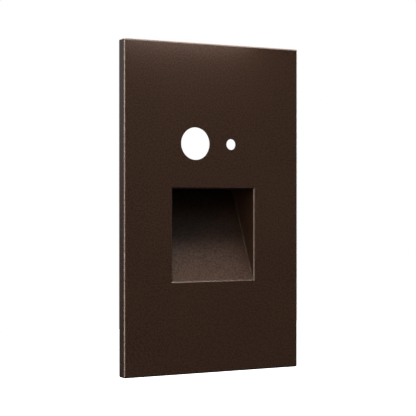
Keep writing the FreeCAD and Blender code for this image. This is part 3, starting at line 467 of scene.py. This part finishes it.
dressed = {
    "bronze": ["face_plate"], "cast": ["engine_housing", "rear_cover"], "bracket": ["mounting_bracket"],
    "screw": ["engine_screws", "lamp_screws", "driver_screws", "cover_screws"], "ground": ["ground_screw"],
    "magnet": ["plate_magnets"], "foam": ["wall_gasket"], "glass": ["window_lens"], "silicone": ["lens_gasket"],
    "white": ["reflector"], "lampBoard": ["lamp_board"], "lamp": ["lamp_chips"], "pad": ["thermal_pad"],
    "board": ["driver_board"], "ferrite": ["transformer_core"], "tape": ["transformer_coil"],
    "sleeve": ["bulk_capacitor", "output_capacitor"], "boxCapacitor": ["film_capacitor"],
    "chip": ["bridge_rectifier", "fuse", "driver_chips"], "varistor": ["varistor"], "wire": ["lamp_wires"],
    "seal": ["cover_seal"], "rubber": ["lead_grommet"]}
for finish, named in dressed.items():
    for node in named:
        for place in nodes[node].material_slots:
            place.material = materials[finish]
print("nodes dressed:", sum(len(named) for named in dressed.values()), "of", len(nodes))


# piece helpers: profiles, boxes and roundings are in millimetres, places are in metres
def addPiece(name, shape, body, surfaces, replaced=(), smoothAngle=35.0):
    mesh = meshFrom(name, shape, smoothAngle) if callable(shape) else shape
    for surface in surfaces:
        mesh.materials.append(materials[surface])
    piece = addObject(name, mesh)
    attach(piece, body)
    if replaced:
        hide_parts(*replaced)


weld = 1e-7  # points nearer than this many metres are one


def meshFrom(name, build, smoothAngle=35.0):
    mesh = bpy.data.meshes.new(name)
    bm = bmesh.new()
    build(bm)
    bmesh.ops.remove_doubles(bm, verts=bm.verts, dist=weld)
    bmesh.ops.recalc_face_normals(bm, faces=bm.faces)
    for face in bm.faces:
        face.smooth = True
    for edge in bm.edges:
        if len(edge.link_faces) == 2 and edge.calc_face_angle(0.0) > math.radians(smoothAngle):
            edge.smooth = False
    bm.to_mesh(mesh)
    bm.free()
    return mesh


def joinRings(bm, rings, closed=False, capped=False, surface=0):
    pairs = list(zip(rings, rings[1:])) + ([(rings[-1], rings[0])] if closed else [])
    for ringA, ringB in pairs:
        for i in range(len(ringA)):
            corners = (ringA[i - 1], ringA[i], ringB[i], ringB[i - 1])
            if len(set(corners)) > 2:
                face = bm.faces.new(list(dict.fromkeys(corners)))
                face.material_index = surface
    if capped:
        bm.faces.new(rings[0][::-1])
        bm.faces.new(rings[-1])


def spin(bm, profile, place=(0, 0, 0), axis=(0, 0, 1), segments=40, surface=0):
    # profile is a list of (radius, distance along axis); a radius of 0 closes the end
    turn = Vector(axis).to_track_quat("Z", "Y")
    angles = [2 * math.pi * i / segments for i in range(segments)]
    spokes = [Vector((math.cos(angle), math.sin(angle), 0)) for angle in angles]
    rings = []
    for radius, along in profile:
        points = [spoke * radius + Vector((0, 0, along)) for spoke in (spokes if radius else spokes[:1])]
        ring = [bm.verts.new(Vector(place) + turn @ point * mm) for point in points]
        rings.append(ring if radius else ring * segments)
    joinRings(bm, rings, surface=surface)


def arc(centreR, centreH, radius, start, end, steps=5):
    angles = [math.radians(start + (end - start) * i / steps) for i in range(steps + 1)]
    return [(centreR + radius * math.cos(angle), centreH + radius * math.sin(angle)) for angle in angles]


# the mesh that the first piece of data becomes once change has been at it; no scratch object stays in the scene
def worked(data, change=lambda scratch: None):
    scratch = [addObject("scratch", one) for one in data]
    change(scratch)
    bpy.context.view_layer.update()
    evaluated = scratch[0].evaluated_get(bpy.context.evaluated_depsgraph_get())
    result = bpy.data.meshes.new_from_object(evaluated)
    for thing in scratch:
        bpy.data.objects.remove(thing)
    return result


def carve(mesh, cutter, operation="DIFFERENCE"):
    def change(scratch):
        cut = scratch[0].modifiers.new("cut", "BOOLEAN")
        cut.operation, cut.object, cut.solver = operation, scratch[1], "EXACT"

    return worked((mesh, cutter), change)


def copiesOf(name, mesh, places):
    # one mesh that holds a turned and moved copy of mesh for each (place, axis)
    def build(bm):
        for place, axis in places:
            before = len(bm.verts)
            bm.from_mesh(mesh)
            bm.verts.ensure_lookup_table()
            turn = Vector(axis).to_track_quat("Z", "Y").to_matrix().to_4x4()
            move = Matrix.Translation(Vector(place)) @ turn
            bmesh.ops.transform(bm, matrix=move, verts=bm.verts[before:])
    return meshFrom(name, build)


def blockIn(bm, low, high):
    rings = [[bm.verts.new(Vector((x, y, z)) * mm) for x, y in ((low[0], low[1]), (high[0], low[1]),
                                                                (high[0], high[1]), (low[0], high[1]))]
             for z in (low[2], high[2])]
    joinRings(bm, rings, capped=True)


def islands(node):
    # the (low, high) box of each loose part of a CAD node, in millimetres
    mesh = nodes[node].data
    owner = list(range(len(mesh.vertices)))

    def root(i):
        while owner[i] != i:
            owner[i] = owner[owner[i]]
            i = owner[i]
        return i

    near = {}
    for vertex in mesh.vertices:  # the mesh may be split along its edges, so points are joined by place
        key = tuple(round(c * 2e6) for c in vertex.co)  # to half a micrometre
        owner[root(vertex.index)] = root(near.setdefault(key, vertex.index))
    for edge in mesh.edges:
        owner[root(edge.vertices[0])] = root(edge.vertices[1])
    boxes = {}
    for vertex in mesh.vertices:
        at = [c / mm for c in vertex.co]
        low, high = boxes.setdefault(root(vertex.index), (Vector(at), Vector(at)))
        for axis in range(3):
            low[axis] = min(low[axis], at[axis])
            high[axis] = max(high[axis], at[axis])
    return sorted(boxes.values(), key=lambda b: (round(b[0].x, 2), round(b[0].z, 2)))


def boxOf(node):
    low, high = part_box(node)
    return low / mm, high / mm


def middleOf(low, high):
    return (low + high) / 2


def seatAt(low, high, y):
    middle = middleOf(low, high)
    return Vector((middle.x, y, middle.z)) * mm


# screws: a turned body with a pressed cross, one mesh for each set
screws = {"segments": 36, "crossWide": 0.60, "crossThin": 0.15, "crossDeep": 0.55, "crossTaper": 0.55,
          "flatCrossDeep": 0.75, "shankShare": 0.94, "tip": 0.35, "crown": 0.15, "rim": 0.03,
          "domeSteps": (0.25, 0.5, 0.7, 0.85, 0.95), "domeDrop": 0.42, "domePower": 2.6, "edge": 0.3, "foot": 0.1,
          "footInset": 0.08, "crossSpare": 0.2, "flatCrown": ((0, 1), (0.5, 0.8), (0.85, 0.4)), "underRim": 0.1,
          # (node, way the head faces, head height with 0 for a flat head, thread radius)
          "sets": {"bracketScrews": ("engine_screws", (0, -1, 0), 0, 1.5),
                   "lidScrews": ("cover_screws", (0, 1, 0), 1.9, 1.5),
                   "boardScrews": ("driver_screws", (0, -1, 0), 1.2, 1.0),
                   "lampBoardScrews": ("lamp_screws", (0, 0, -1), 0.6, 1.0)}}


def crossCutter(radius, top, depth):
    def build(bm):
        wide, thin = screws["crossWide"] * radius, screws["crossThin"] * radius
        rings = []
        for z, reach in ((top - depth, screws["crossTaper"] * wide), (top + screws["crossSpare"], wide)):
            corners = []
            for quarter in range(4):
                turn = Matrix.Rotation(math.pi / 2 * quarter, 3, "Z")
                corners += [turn @ Vector((reach, -thin, z)), turn @ Vector((reach, thin, z)),
                            turn @ Vector((thin, thin, z))]
            rings.append([bm.verts.new(corner * mm) for corner in corners])
        joinRings(bm, rings, capped=True)
    return meshFrom("cross", build)


def crossedScrew(profile, radius, top, depth):
    turned = meshFrom("turned", lambda bm: spin(bm, profile, segments=screws["segments"]))
    return carve(turned, crossCutter(radius, top, depth))


def panScrewMesh(radius, head, shank, length):
    s = screws
    dome = [(radius * share, head * (1 - s["domeDrop"] * share ** s["domePower"])) for share in s["domeSteps"]]
    profile = [(0, head), *dome, (radius, dome[-1][1] - s["edge"] * head), (radius, s["foot"] * head),
               (radius - s["footInset"], 0), (shank, 0), (shank, s["tip"] - length), (shank - s["tip"], -length),
               (0, -length)]
    return crossedScrew(profile, radius, head, s["crossDeep"] * head)


def flatScrewMesh(radius, shank, length):
    s = screws
    flank = radius - shank
    profile = [(share * radius, height * s["crown"]) for share, height in s["flatCrown"]]
    profile += [(radius, s["rim"]), (radius, -s["underRim"]), (shank, -flank), (shank, s["tip"] - length),
                (shank - s["tip"], -length), (0, -length)]
    return crossedScrew(profile, radius, s["crown"], s["flatCrossDeep"] * flank)


def makeScrews():
    for name, (node, faces, head, thread) in screws["sets"].items():
        solids = islands(node)
        low, high = solids[0]
        axis = [abs(part) for part in faces].index(1)
        radius, shank, length = (high.x - low.x) / 2, screws["shankShare"] * thread, high[axis] - low[axis] - head
        mesh = panScrewMesh(radius, head, shank, length) if head else flatScrewMesh(radius, shank, length)
        places = []
        for low, high in solids:
            seat = middleOf(low, high)
            seat[axis] = high[axis] - head if faces[axis] > 0 else low[axis] + head
            places.append((seat * mm, faces))
        addPiece(name, copiesOf(name, mesh, places), "engine", ["screw"], [node])


groundScrew = {"washerHeight": 0.8, "washerRise": 0.55, "washerEdge": 0.35, "headHeight": 2.2, "hexRadius": 4.0,
               "hexFoot": 0.3, "chamfer": 0.45, "slotHalf": 0.5, "slotDepth": 1.1, "shank": 2.4, "pitch": 0.8,
               "threadDepth": 0.22, "threadGap": 0.1, "tipTaper": 0.5, "bellSpare": 0.3, "bellInset": 0.1,
               "washerMiddle": 0.5, "underHead": 0.2, "washerSlope": 0.25, "washerFoot": 0.08, "footInset": 0.1,
               "slotSpare": 1.0, "segments": 48}


def makeGroundScrew():
    low, high = boxOf("ground_screw")
    g = groundScrew
    washerRadius = (high.z - low.z) / 2
    top = g["washerHeight"] + g["headHeight"]
    tip = -(high.x - low.x - top)
    hexagon = [(0, g["hexFoot"]), (g["hexRadius"], g["hexFoot"]), (g["hexRadius"], top), (0, top)]
    wide, flats = g["hexRadius"] + g["bellSpare"], g["hexRadius"] * math.cos(math.pi / 6)
    bell = [(0, 0), (wide, 0), (wide, top - g["chamfer"]), (flats - g["bellInset"], top), (0, top)]
    head = carve(meshFrom("hexagon", lambda bm: spin(bm, hexagon, segments=6)),
                 meshFrom("bell", lambda bm: spin(bm, bell, segments=g["segments"])), "INTERSECT")
    half, long, bottom, over = g["slotHalf"], 2 * washerRadius, top - g["slotDepth"], top + g["slotSpare"]
    slot = meshFrom("slot", lambda bm: blockIn(bm, (-long, -half, bottom), (long, half, over)))
    head = carve(head, slot)
    profile = [(0, g["washerMiddle"]), (g["hexRadius"] - g["underHead"], g["washerHeight"]),
               (washerRadius - g["washerSlope"], g["washerRise"]), (washerRadius, g["washerEdge"]),
               (washerRadius, g["washerFoot"]), (washerRadius - g["footInset"], 0), (g["shank"], 0)]
    along = -g["threadGap"]
    while along > tip + g["pitch"]:
        profile += [(g["shank"], along), (g["shank"] - g["threadDepth"], along - g["pitch"] / 2)]
        along -= g["pitch"]
    profile += [(g["shank"] - g["threadGap"], along), (g["shank"] - g["tipTaper"], tip), (0, tip)]
    turned = meshFrom("turned", lambda bm: spin(bm, profile, segments=g["segments"]))

    def both(bm):
        bm.from_mesh(head)
        bm.from_mesh(turned)

    middle = middleOf(low, high)
    seat = Vector((low.x + top, middle.y, middle.z)) * mm
    mesh = copiesOf("groundScrew", meshFrom("headAndShank", both), [(seat, (-1, 0, 0))])
    addPiece("groundScrew", mesh, "engine", ["ground"], ["ground_screw"])


# soft rings: an outer and an inner loop with a rounded section between them
def roundedLoop(halfX, halfZ, radius, perCorner, perSide):
    corners = ((1, 1, 0), (-1, 1, 90), (-1, -1, 180), (1, -1, 270))
    arcs = [arc(x * (halfX - radius), z * (halfZ - radius), radius, start, start + 90, perCorner)
            for x, z, start in corners]
    loop = []
    for this, after in zip(arcs, arcs[1:] + arcs[:1]):
        loop += this
        for i in range(1, perSide):
            share = i / perSide
            loop.append(tuple(a + (b - a) * share for a, b in zip(this[-1], after[0])))
    return loop


def softRing(bm, outer, inner, low, high, rounding, place):
    # section: u runs from the outer loop to the inner one, v from low to high
    steps = [(rounding, 0), (1 - rounding, 0), (1, 0.25), (1, 0.75), (1 - rounding, 1), (rounding, 1),
             (0, 0.75), (0, 0.25)]
    rings = [[bm.verts.new(place(ax + (bx - ax) * u, az + (bz - az) * u, low + (high - low) * v) * mm)
              for (ax, az), (bx, bz) in zip(outer, inner)] for u, v in steps]
    joinRings(bm, rings, closed=True)


foamStrip = {"width": 3.2, "outerCorner": 1.0, "innerCorner": 3.2, "rounding": 0.07, "ripple": 0.05,
             "rippleLength": 2.3, "rippleX": 2.1, "rippleZ": 1.7, "shift": 1.0, "perCorner": 6, "perSide": 60}


def makeFoamGasket():
    low, high = boxOf("wall_gasket")
    f = foamStrip
    outer, inner = [roundedLoop(high.x - inset, high.z - inset, corner, f["perCorner"], f["perSide"])
                    for inset, corner in ((0, f["outerCorner"]), (f["width"], f["innerCorner"]))]

    def place(a, b, along):
        wave = math.sin(a / f["rippleLength"] * f["rippleX"])
        wave *= math.sin(b / f["rippleLength"] * f["rippleZ"] + f["shift"])
        pull = 1 - f["ripple"] * (1 + wave) / max(abs(a), abs(b))  # always inwards, off the rim
        return Vector((a * pull, along, b * pull))

    def ring(bm):
        softRing(bm, outer, inner, low.y, high.y, f["rounding"], place)

    addPiece("foamGasket", ring, "cover", ["foam"], ["wall_gasket"], 60)


bead = {"outerCorner": 0.3, "innerCorner": 0.1, "rounding": 0.2, "perCorner": 4, "perSide": 12}


def makeSiliconeBead():
    low, high = boxOf("lens_gasket")
    glassLow, glassHigh = boxOf("window_lens")
    middle = (low.y + high.y) / 2
    outer = roundedLoop(high.x, (high.y - low.y) / 2, bead["outerCorner"], bead["perCorner"], bead["perSide"])
    inner = roundedLoop(glassHigh.x, (glassHigh.y - glassLow.y) / 2, bead["innerCorner"], bead["perCorner"],
                        bead["perSide"])

    def ring(bm):
        softRing(bm, outer, inner, low.z, high.z, bead["rounding"], lambda a, b, along: Vector((a, middle + b, along)))

    addPiece("siliconeBead", ring, "engine", ["silicone"], ["lens_gasket"], 80)


grommet = {"bore": 2.6, "neck": 4.2, "flange": 1.4, "edge": 0.55, "lip": 0.35, "segments": 64}


def makeGrommet():
    low, high = boxOf("lead_grommet")
    g = grommet
    outside, length = (high.x - low.x) / 2, high.y - low.y
    edge, lip = g["edge"], g["lip"]
    profile = arc(g["bore"] + lip, lip, lip, 180, 270)
    profile += arc(outside - edge, edge, edge, -90, 0)
    profile += [(outside, g["flange"]), (g["neck"], g["flange"]), (g["neck"], length - g["flange"]),
                (outside, length - g["flange"])]
    profile += arc(outside - edge, length - edge, edge, 0, 90)
    profile += arc(g["bore"] + lip, length - lip, lip, 90, 180)
    profile.append(profile[0])
    place = seatAt(low, high, low.y)
    addPiece("grommet", lambda bm: spin(bm, profile, place, (0, 1, 0), g["segments"]), "engine",
             ["rubber"], ["lead_grommet"])


# glued magnets: a disc with broken edges, and the fillet of glue round the part that stands proud
magnets = {"chamfer": 0.25, "proud": 0.2, "glueWide": 0.4, "glueHigh": 0.16, "bulgeOut": 0.4, "bulgeUp": 0.35,
           "segments": 48}


def makeMagnets():
    m = magnets

    def discs(bm):
        for low, high in islands("plate_magnets"):
            radius, thick, edge = (high.x - low.x) / 2, high.y - low.y, m["chamfer"]
            profile = [(0, 0), (radius - edge, 0), (radius, edge), (radius, thick - edge), (radius - edge, thick),
                       (0, thick)]
            spin(bm, profile, seatAt(low, high, low.y), (0, 1, 0), m["segments"])

    def glue(bm):
        for low, high in islands("plate_magnets"):
            radius = (high.x - low.x) / 2
            profile = [(radius, 0), (radius + m["glueWide"], 0),
                       (radius + m["bulgeOut"] * m["glueWide"], m["bulgeUp"] * m["glueHigh"]),
                       (radius, m["glueHigh"]), (radius, 0)]
            spin(bm, profile, seatAt(low, high, high.y - m["proud"]), (0, 1, 0), m["segments"])

    addPiece("magnetDiscs", discs, "cover", ["magnet"], ["plate_magnets"])
    addPiece("magnetGlue", glue, "cover", ["silicone"])


# solids whose own outline is right get a copy with its sharp edges rounded: (node, slot, finish, rounding)
softened = {"sharp": 50, "steps": 2, "pieces": {
    "coverSeal": ("cover_seal", "red_silicone", "seal", 0.20),
    "filmCapacitor": ("film_capacitor", "box_capacitor", "boxCapacitor", 0.45),
    "bridgeRectifier": ("bridge_rectifier", "chip_black", "chip", 0.30),
    "driverChips": ("driver_chips", "chip_black", "chip", 0.12),
    "fuseBody": ("fuse", "chip_black", "chip", 0.35),
    "ferriteCore": ("transformer_core", "ferrite", "ferrite", 0.25),
    "thermalPad": ("thermal_pad", "pad_grey", "pad", 0.10),
    "lampChips": ("lamp_chips", "lamp_yellow", "lamp", 0.12)}}


def makeSoftenedPieces():
    for name, (node, slot, finish, rounding) in softened["pieces"].items():
        def build(bm):
            bm.from_mesh(nodes[node].data)
            bmesh.ops.remove_doubles(bm, verts=bm.verts, dist=weld)
            bmesh.ops.dissolve_limit(bm, angle_limit=math.radians(1), verts=bm.verts, edges=bm.edges)
            rims = [edge for edge in bm.edges if edge.calc_face_angle(0.0) > math.radians(softened["sharp"])]
            bmesh.ops.bevel(bm, geom=rims, offset=rounding * mm, offset_type="OFFSET", segments=softened["steps"],
                            profile=0.5, affect="EDGES", clamp_overlap=True)

        addPiece(name, build, "engine", [finish], [node])


# electrolytic cans: a shrunk sleeve over a rolled neck, its lip curled over the bare aluminium top
cans = {"foot": 0.3, "neckAt": 1.6, "neckHalf": 0.5, "neckDeep": 0.4, "shoulder": 0.4, "lip": 1.1, "topDrop": 0.35,
        "pieces": {"bulkCan": "bulk_capacitor", "outputCan": "output_capacitor"}}


def makeCans():
    c = cans
    for name, node in c["pieces"].items():
        low, high = boxOf(node)
        radius, length = (high.x - low.x) / 2, high.y - low.y
        inner = radius - c["lip"]
        sleeve = [(0, 0), (radius - c["foot"], 0), (radius, c["foot"]), (radius, c["neckAt"] - c["neckHalf"]),
                  (radius - c["neckDeep"], c["neckAt"]), (radius, c["neckAt"] + c["neckHalf"])]
        sleeve += arc(radius - c["shoulder"], length - c["shoulder"], c["shoulder"], 0, 90)
        sleeve += [(inner, length), (inner, length - c["topDrop"])]
        place = seatAt(low, high, high.y)

        def build(bm):
            spin(bm, sleeve, place, (0, -1, 0))
            spin(bm, [sleeve[-1], (0, length - c["topDrop"])], place, (0, -1, 0), surface=1)

        addPiece(name, build, "engine", ["sleeve", "magnet"], [node])


# varistor: a dipped disc with a full round rim, standing on its foot
dippedDisc = {"rim": 1.1, "footThick": 0.75, "footWide": 0.7, "footHigh": 0.33}


def makeVaristor():
    low, high = boxOf("varistor")
    d = dippedDisc
    middle = middleOf(low, high)
    radius, thick, rim = (high.z - low.z) / 2, high.x - low.x, d["rim"]
    profile = [(0, 0), *arc(radius - rim, rim, rim, -90, 0), *arc(radius - rim, thick - rim, rim, 0, 90), (0, thick)]
    disc = meshFrom("disc", lambda bm: spin(bm, profile, Vector((low.x, middle.y, middle.z)) * mm, (1, 0, 0)))
    halfThick, halfWide = d["footThick"] * thick / 2, d["footWide"] * radius
    foot = meshFrom("foot", lambda bm: blockIn(
        bm, (middle.x - halfThick, high.y - d["footHigh"] * radius, middle.z - halfWide),
        (middle.x + halfThick, high.y, middle.z + halfWide)))
    addPiece("dippedVaristor", carve(disc, foot, "UNION"), "engine", ["varistor"], ["varistor"])


# leads: each leaves the driver board, bends up and runs level through the slot to the lamp board
lampLeads = {"radius": 0.52, "column": 1.5, "rise": 3.0, "turn": 5.0, "slotMouth": 8.9, "roundness": 4,
             "smoothness": 12}


def makeLampLeads():
    low, high = boxOf("lamp_wires")
    w = lampLeads
    start, level = low.z + w["radius"], high.z - w["radius"]
    curve = bpy.data.curves.new("lampLeads", "CURVE")
    curve.dimensions = "3D"
    curve.bevel_depth, curve.bevel_resolution, curve.use_fill_caps = w["radius"] * mm, w["roundness"], True
    for x in (-w["column"], w["column"]):
        route = [(x, high.y, start), (x, high.y - w["rise"], start), (x, high.y - w["turn"], level),
                 (x, high.y - w["slotMouth"], level), (x, low.y, level)]
        spline = curve.splines.new("NURBS")
        spline.points.add(len(route) - 1)
        for point, at in zip(spline.points, route):
            point.co = (*(Vector(at) * mm), 1.0)
        spline.order_u, spline.use_endpoint_u, spline.resolution_u = 3, True, w["smoothness"]
    tubes = worked((curve,))
    addPiece("lampLeads", lambda bm: bm.from_mesh(tubes), "engine", ["wire"], ["lamp_wires"])


# soldered legs on the driver board's back: (x, z) from each component's middle
solder = {"foot": 0.80, "waist": 0.42, "leg": 0.26, "height": 0.75, "cut": 0.1, "segments": 16, "legs": {
    "bulk_capacitor": [(-2.5, 0), (2.5, 0)], "output_capacitor": [(-1.75, 0), (1.75, 0)],
    "film_capacitor": [(-5, 0), (5, 0)], "fuse": [(-1.2, 0), (1.2, 0)], "varistor": [(0, -2.5), (0, 2.5)],
    "bridge_rectifier": [(x, z) for x in (-2.5, 2.5) for z in (-2.3, 2.3)],
    "transformer_core": [(x, z) for x in (-4.5, -1.5, 1.5, 4.5) for z in (-6.2, 6.2)]}}


def makeSolderJoints():
    back = boxOf("driver_board")[1].y
    s = solder
    profile = [(0, 0), (s["foot"], 0), (s["waist"], 0.4 * s["height"]), (s["leg"], 0.8 * s["height"]),
               (s["leg"], s["height"]), (0, s["height"] + s["cut"])]

    def build(bm):
        for node, legs in s["legs"].items():
            middle = middleOf(*boxOf(node))
            for x, z in legs:
                place = Vector((middle.x + x, back, middle.z + z)) * mm
                spin(bm, profile, place, (0, 1, 0), s["segments"])

    addPiece("solderJoints", build, "engine", ["screw"])


# gull-wing legs of the two chips on the board's back
chipLegs = {"pitch": 1.27, "wide": 0.42, "thick": 0.16, "reach": 0.95, "knee": 0.35, "slope": 0.12, "margin": 0.6}


def makeChipLegs():
    back = boxOf("driver_board")[1].y
    c = chipLegs

    def build(bm):
        for low, high in islands("driver_chips"):
            rise = (high.y - back) / 2
            path = [(0, rise), (c["knee"], rise), (c["knee"] + c["slope"], c["thick"]), (c["reach"], c["thick"]),
                    (c["reach"], 0), (c["knee"], 0), (c["knee"] - c["slope"], rise - c["thick"]),
                    (0, rise - c["thick"])]
            count = int((high.z - low.z - 2 * c["margin"]) / c["pitch"]) + 1
            first = (low.z + high.z - (count - 1) * c["pitch"]) / 2
            for side, edge in ((-1, low.x), (1, high.x)):
                for i in range(count):
                    z = first + i * c["pitch"]
                    rings = [[bm.verts.new(Vector((edge + side * u, back + v, z + half)) * mm) for u, v in path]
                             for half in (-c["wide"] / 2, c["wide"] / 2)]
                    joinRings(bm, rings, capped=True)

    addPiece("chipLegs", build, "engine", ["screw"])


# what the die leaves on the castings: the parting line round the housing, ejector rings on the rear cover
casting = {"ridgeHigh": 0.10, "ridgeHalf": 0.16, "ridgeSunk": 0.05, "corner": 2.5, "finPitch": 4.4,
           "markRadius": 2.0, "markHigh": 0.06, "markWide": 0.22, "markSunk": 0.02,
           "markColumns": (-9.0, 9.0), "markRows": (-15.0, 12.0), "segments": 40, "perCorner": 8, "perSide": 2}


def makeCastingMarks():
    low, high = boxOf("engine_housing")
    c = casting
    middle = middleOf(low, high)
    middleY = middle.y + c["finPitch"] / 2
    halfX, halfZ = high.x, (high.z - low.z) / 2

    def ridge(bm):
        rings, sunk, half = [], -c["ridgeSunk"], c["ridgeHalf"]
        for proud, offset in ((sunk, -half), (c["ridgeHigh"], 0), (sunk, half)):
            loop = roundedLoop(halfX + proud, halfZ + proud, c["corner"] + proud, c["perCorner"], c["perSide"])
            rings.append([bm.verts.new(Vector((a, middleY + offset, middle.z + b)) * mm) for a, b in loop])
        joinRings(bm, rings, closed=True)

    back = boxOf("rear_cover")[1].y
    r, w, sunk = c["markRadius"], c["markWide"], -c["markSunk"]
    profile = [(r - w, sunk), (r - w / 2, c["markHigh"]), (r, sunk), (r - w, sunk)]

    def marks(bm):
        for x in c["markColumns"]:
            for z in c["markRows"]:
                spin(bm, profile, Vector((x, back, middle.z + z)) * mm, (0, 1, 0), c["segments"])

    addPiece("partingLine", ridge, "engine", ["cast"])
    addPiece("ejectorMarks", marks, "engine", ["cast"])


makeScrews()
makeGroundScrew()
makeFoamGasket()
makeSiliconeBead()
makeGrommet()
makeMagnets()
makeSoftenedPieces()
makeCans()
makeVaristor()
makeLampLeads()
makeSolderJoints()
makeChipLegs()
makeCastingMarks()
print("pieces made")

# plain studio: places and sizes are in metres
studio = {"fillLow": 0.03, "fillHigh": 1.6, "fillAt": 0.9, "glossFront": 0.02, "glossLow": 0.05, "glossBehind": 0.6,
          "behindAt": (0.10, 0.55), "horizon": 0.08, "floorCloud": 3.0,
          "floorDrop": 0.30, "floorSize": 6.0, "floorColour": (0.80, 0.80, 0.79), "floorStain": (0.7, 0.7, 0.7),
          "floorStainShare": 0.04, "floorGlow": 0.45, "glowFrom": 0.25, "glowTo": 0.75}
warm, white, middle = (1.0, 0.86, 0.74), (1, 1, 1), (0, 0, 0)
softboxes = {  # (place, width and height, radiance, colour, point it looks at)
    "overhead": ((0.05, -0.13, 0.75), (0.50, 0.35), 22.0, (1.0, 0.89, 0.79), middle),
    "leftStrip": ((-0.777, -0.346, 0.11), (0.06, 0.60), 7.9, warm, middle),
    "leftHighStrip": ((-0.775, -0.345, 0.20), (0.06, 0.26), 2.6, warm, middle),
    "innerStrip": ((-0.715, -0.437, 0.0), (0.05, 0.40), 3.9, warm, middle),
    "creaseStrip": ((-0.677, -0.230, 0.458), (0.08, 0.16), 3.0, (1.0, 0.80, 0.64), middle),
    "rimStrip": ((0.40, 0.07, 0.74), (0.18, 0.16), 4.0, warm, middle),
    "rightCard": ((0.75, 0.40, 0.0), (0.14, 0.60), 2.0, warm, middle),
    "rearCard": ((0.35, 0.80, 0.30), (0.70, 0.50), 3.5, white, middle),
    "topStrip": ((-0.010, -0.0140, 0.0695), (0.058, 0.004), 9.2, white, (-0.010, -0.006, 0.059))}


# the world is white for the camera and through glass, dim in front for gloss, and fills softly from above
def makeWorld():
    world = bpy.data.worlds.new("studio")
    world.use_nodes = True
    tree = world.node_tree
    tree.nodes.clear()
    parts = splitXYZ(tree, addNode(tree, "TexCoord").outputs["Generated"])
    behind = ramp(tree, parts["Y"], *studio["behindAt"])
    high = ramp(tree, parts["Z"], 0.0, studio["horizon"], studio["glossLow"], studio["glossBehind"])
    level = plus(tree, studio["glossFront"], times(tree, behind, high))
    path = addNode(tree, "LightPath").outputs
    seen = plus(tree, path["Is Camera Ray"], path["Is Transmission Ray"], clamp=True)
    unseen = minus(tree, 1.0, seen)
    glossy = times(tree, path["Is Glossy Ray"], unseen)
    plain = minus(tree, unseen, glossy)
    sky = ramp(tree, parts["Z"], 0.0, studio["fillAt"], studio["fillLow"], studio["fillHigh"])
    strength = plus(tree, plus(tree, seen, times(tree, glossy, level)), times(tree, plain, sky))
    glow = addNode(tree, "Background", {"Color": (1, 1, 1), "Strength": strength})
    addNode(tree, "OutputWorld", {"Surface": glow.outputs[0]})
    scene.world = world


def makeSoftboxes():
    for name, (place, size, radiance, colour, aim) in softboxes.items():
        data = bpy.data.lights.new(name, "AREA")
        data.shape = "RECTANGLE"
        data.size, data.size_y = size
        data.energy, data.color = radiance * size[0] * size[1] * math.pi, colour
        addLooking(name, data, place, Vector(aim) - Vector(place)).visible_camera = False


def makeFloor():
    half = studio["floorSize"] / 2
    mesh = bpy.data.meshes.new("floor")
    level = cadBox[0].z - studio["floorDrop"]
    corners = [(-half, -half, level), (half, -half, level), (half, half, level), (-half, half, level)]
    mesh.from_pydata(corners, [], [(0, 1, 2, 3)])
    floor = addObject("floor", mesh)
    material, tree, shader = newMaterial("paleFloor", {"Roughness": 0.9, "Specular IOR Level": 0.1})
    point = objectPoint(tree)
    parts = splitXYZ(tree, point)
    away = maths(tree, "SQRT", plus(tree, times(tree, parts["X"], parts["X"]), times(tree, parts["Y"], parts["Y"])))
    cloud = addNode(tree, "TexNoise", {"Vector": point, "Scale": studio["floorCloud"]}).outputs["Fac"]
    stained = times(tree, cloud, studio["floorStainShare"])
    feed(tree, shader.inputs["Base Color"], blendColour(tree, stained, studio["floorColour"], studio["floorStain"]))
    path = addNode(tree, "LightPath").outputs
    far = ramp(tree, away, studio["glowFrom"], studio["glowTo"], studio["floorGlow"], 1.0)
    strength = times(tree, far, path["Is Camera Ray"])
    glow = addNode(tree, "Emission", {"Color": (1, 1, 1), "Strength": strength})
    both = addNode(tree, "AddShader", {0: shader.outputs[0], 1: glow.outputs[0]})
    tree.links.new(both.outputs[0], tree.nodes["Material Output"].inputs["Surface"])
    mesh.materials.append(material)
    floor.visible_glossy = floor.visible_diffuse = False


makeWorld()
makeSoftboxes()
makeFloor()
scene.view_settings.view_transform = "Standard"
print("studio ready")
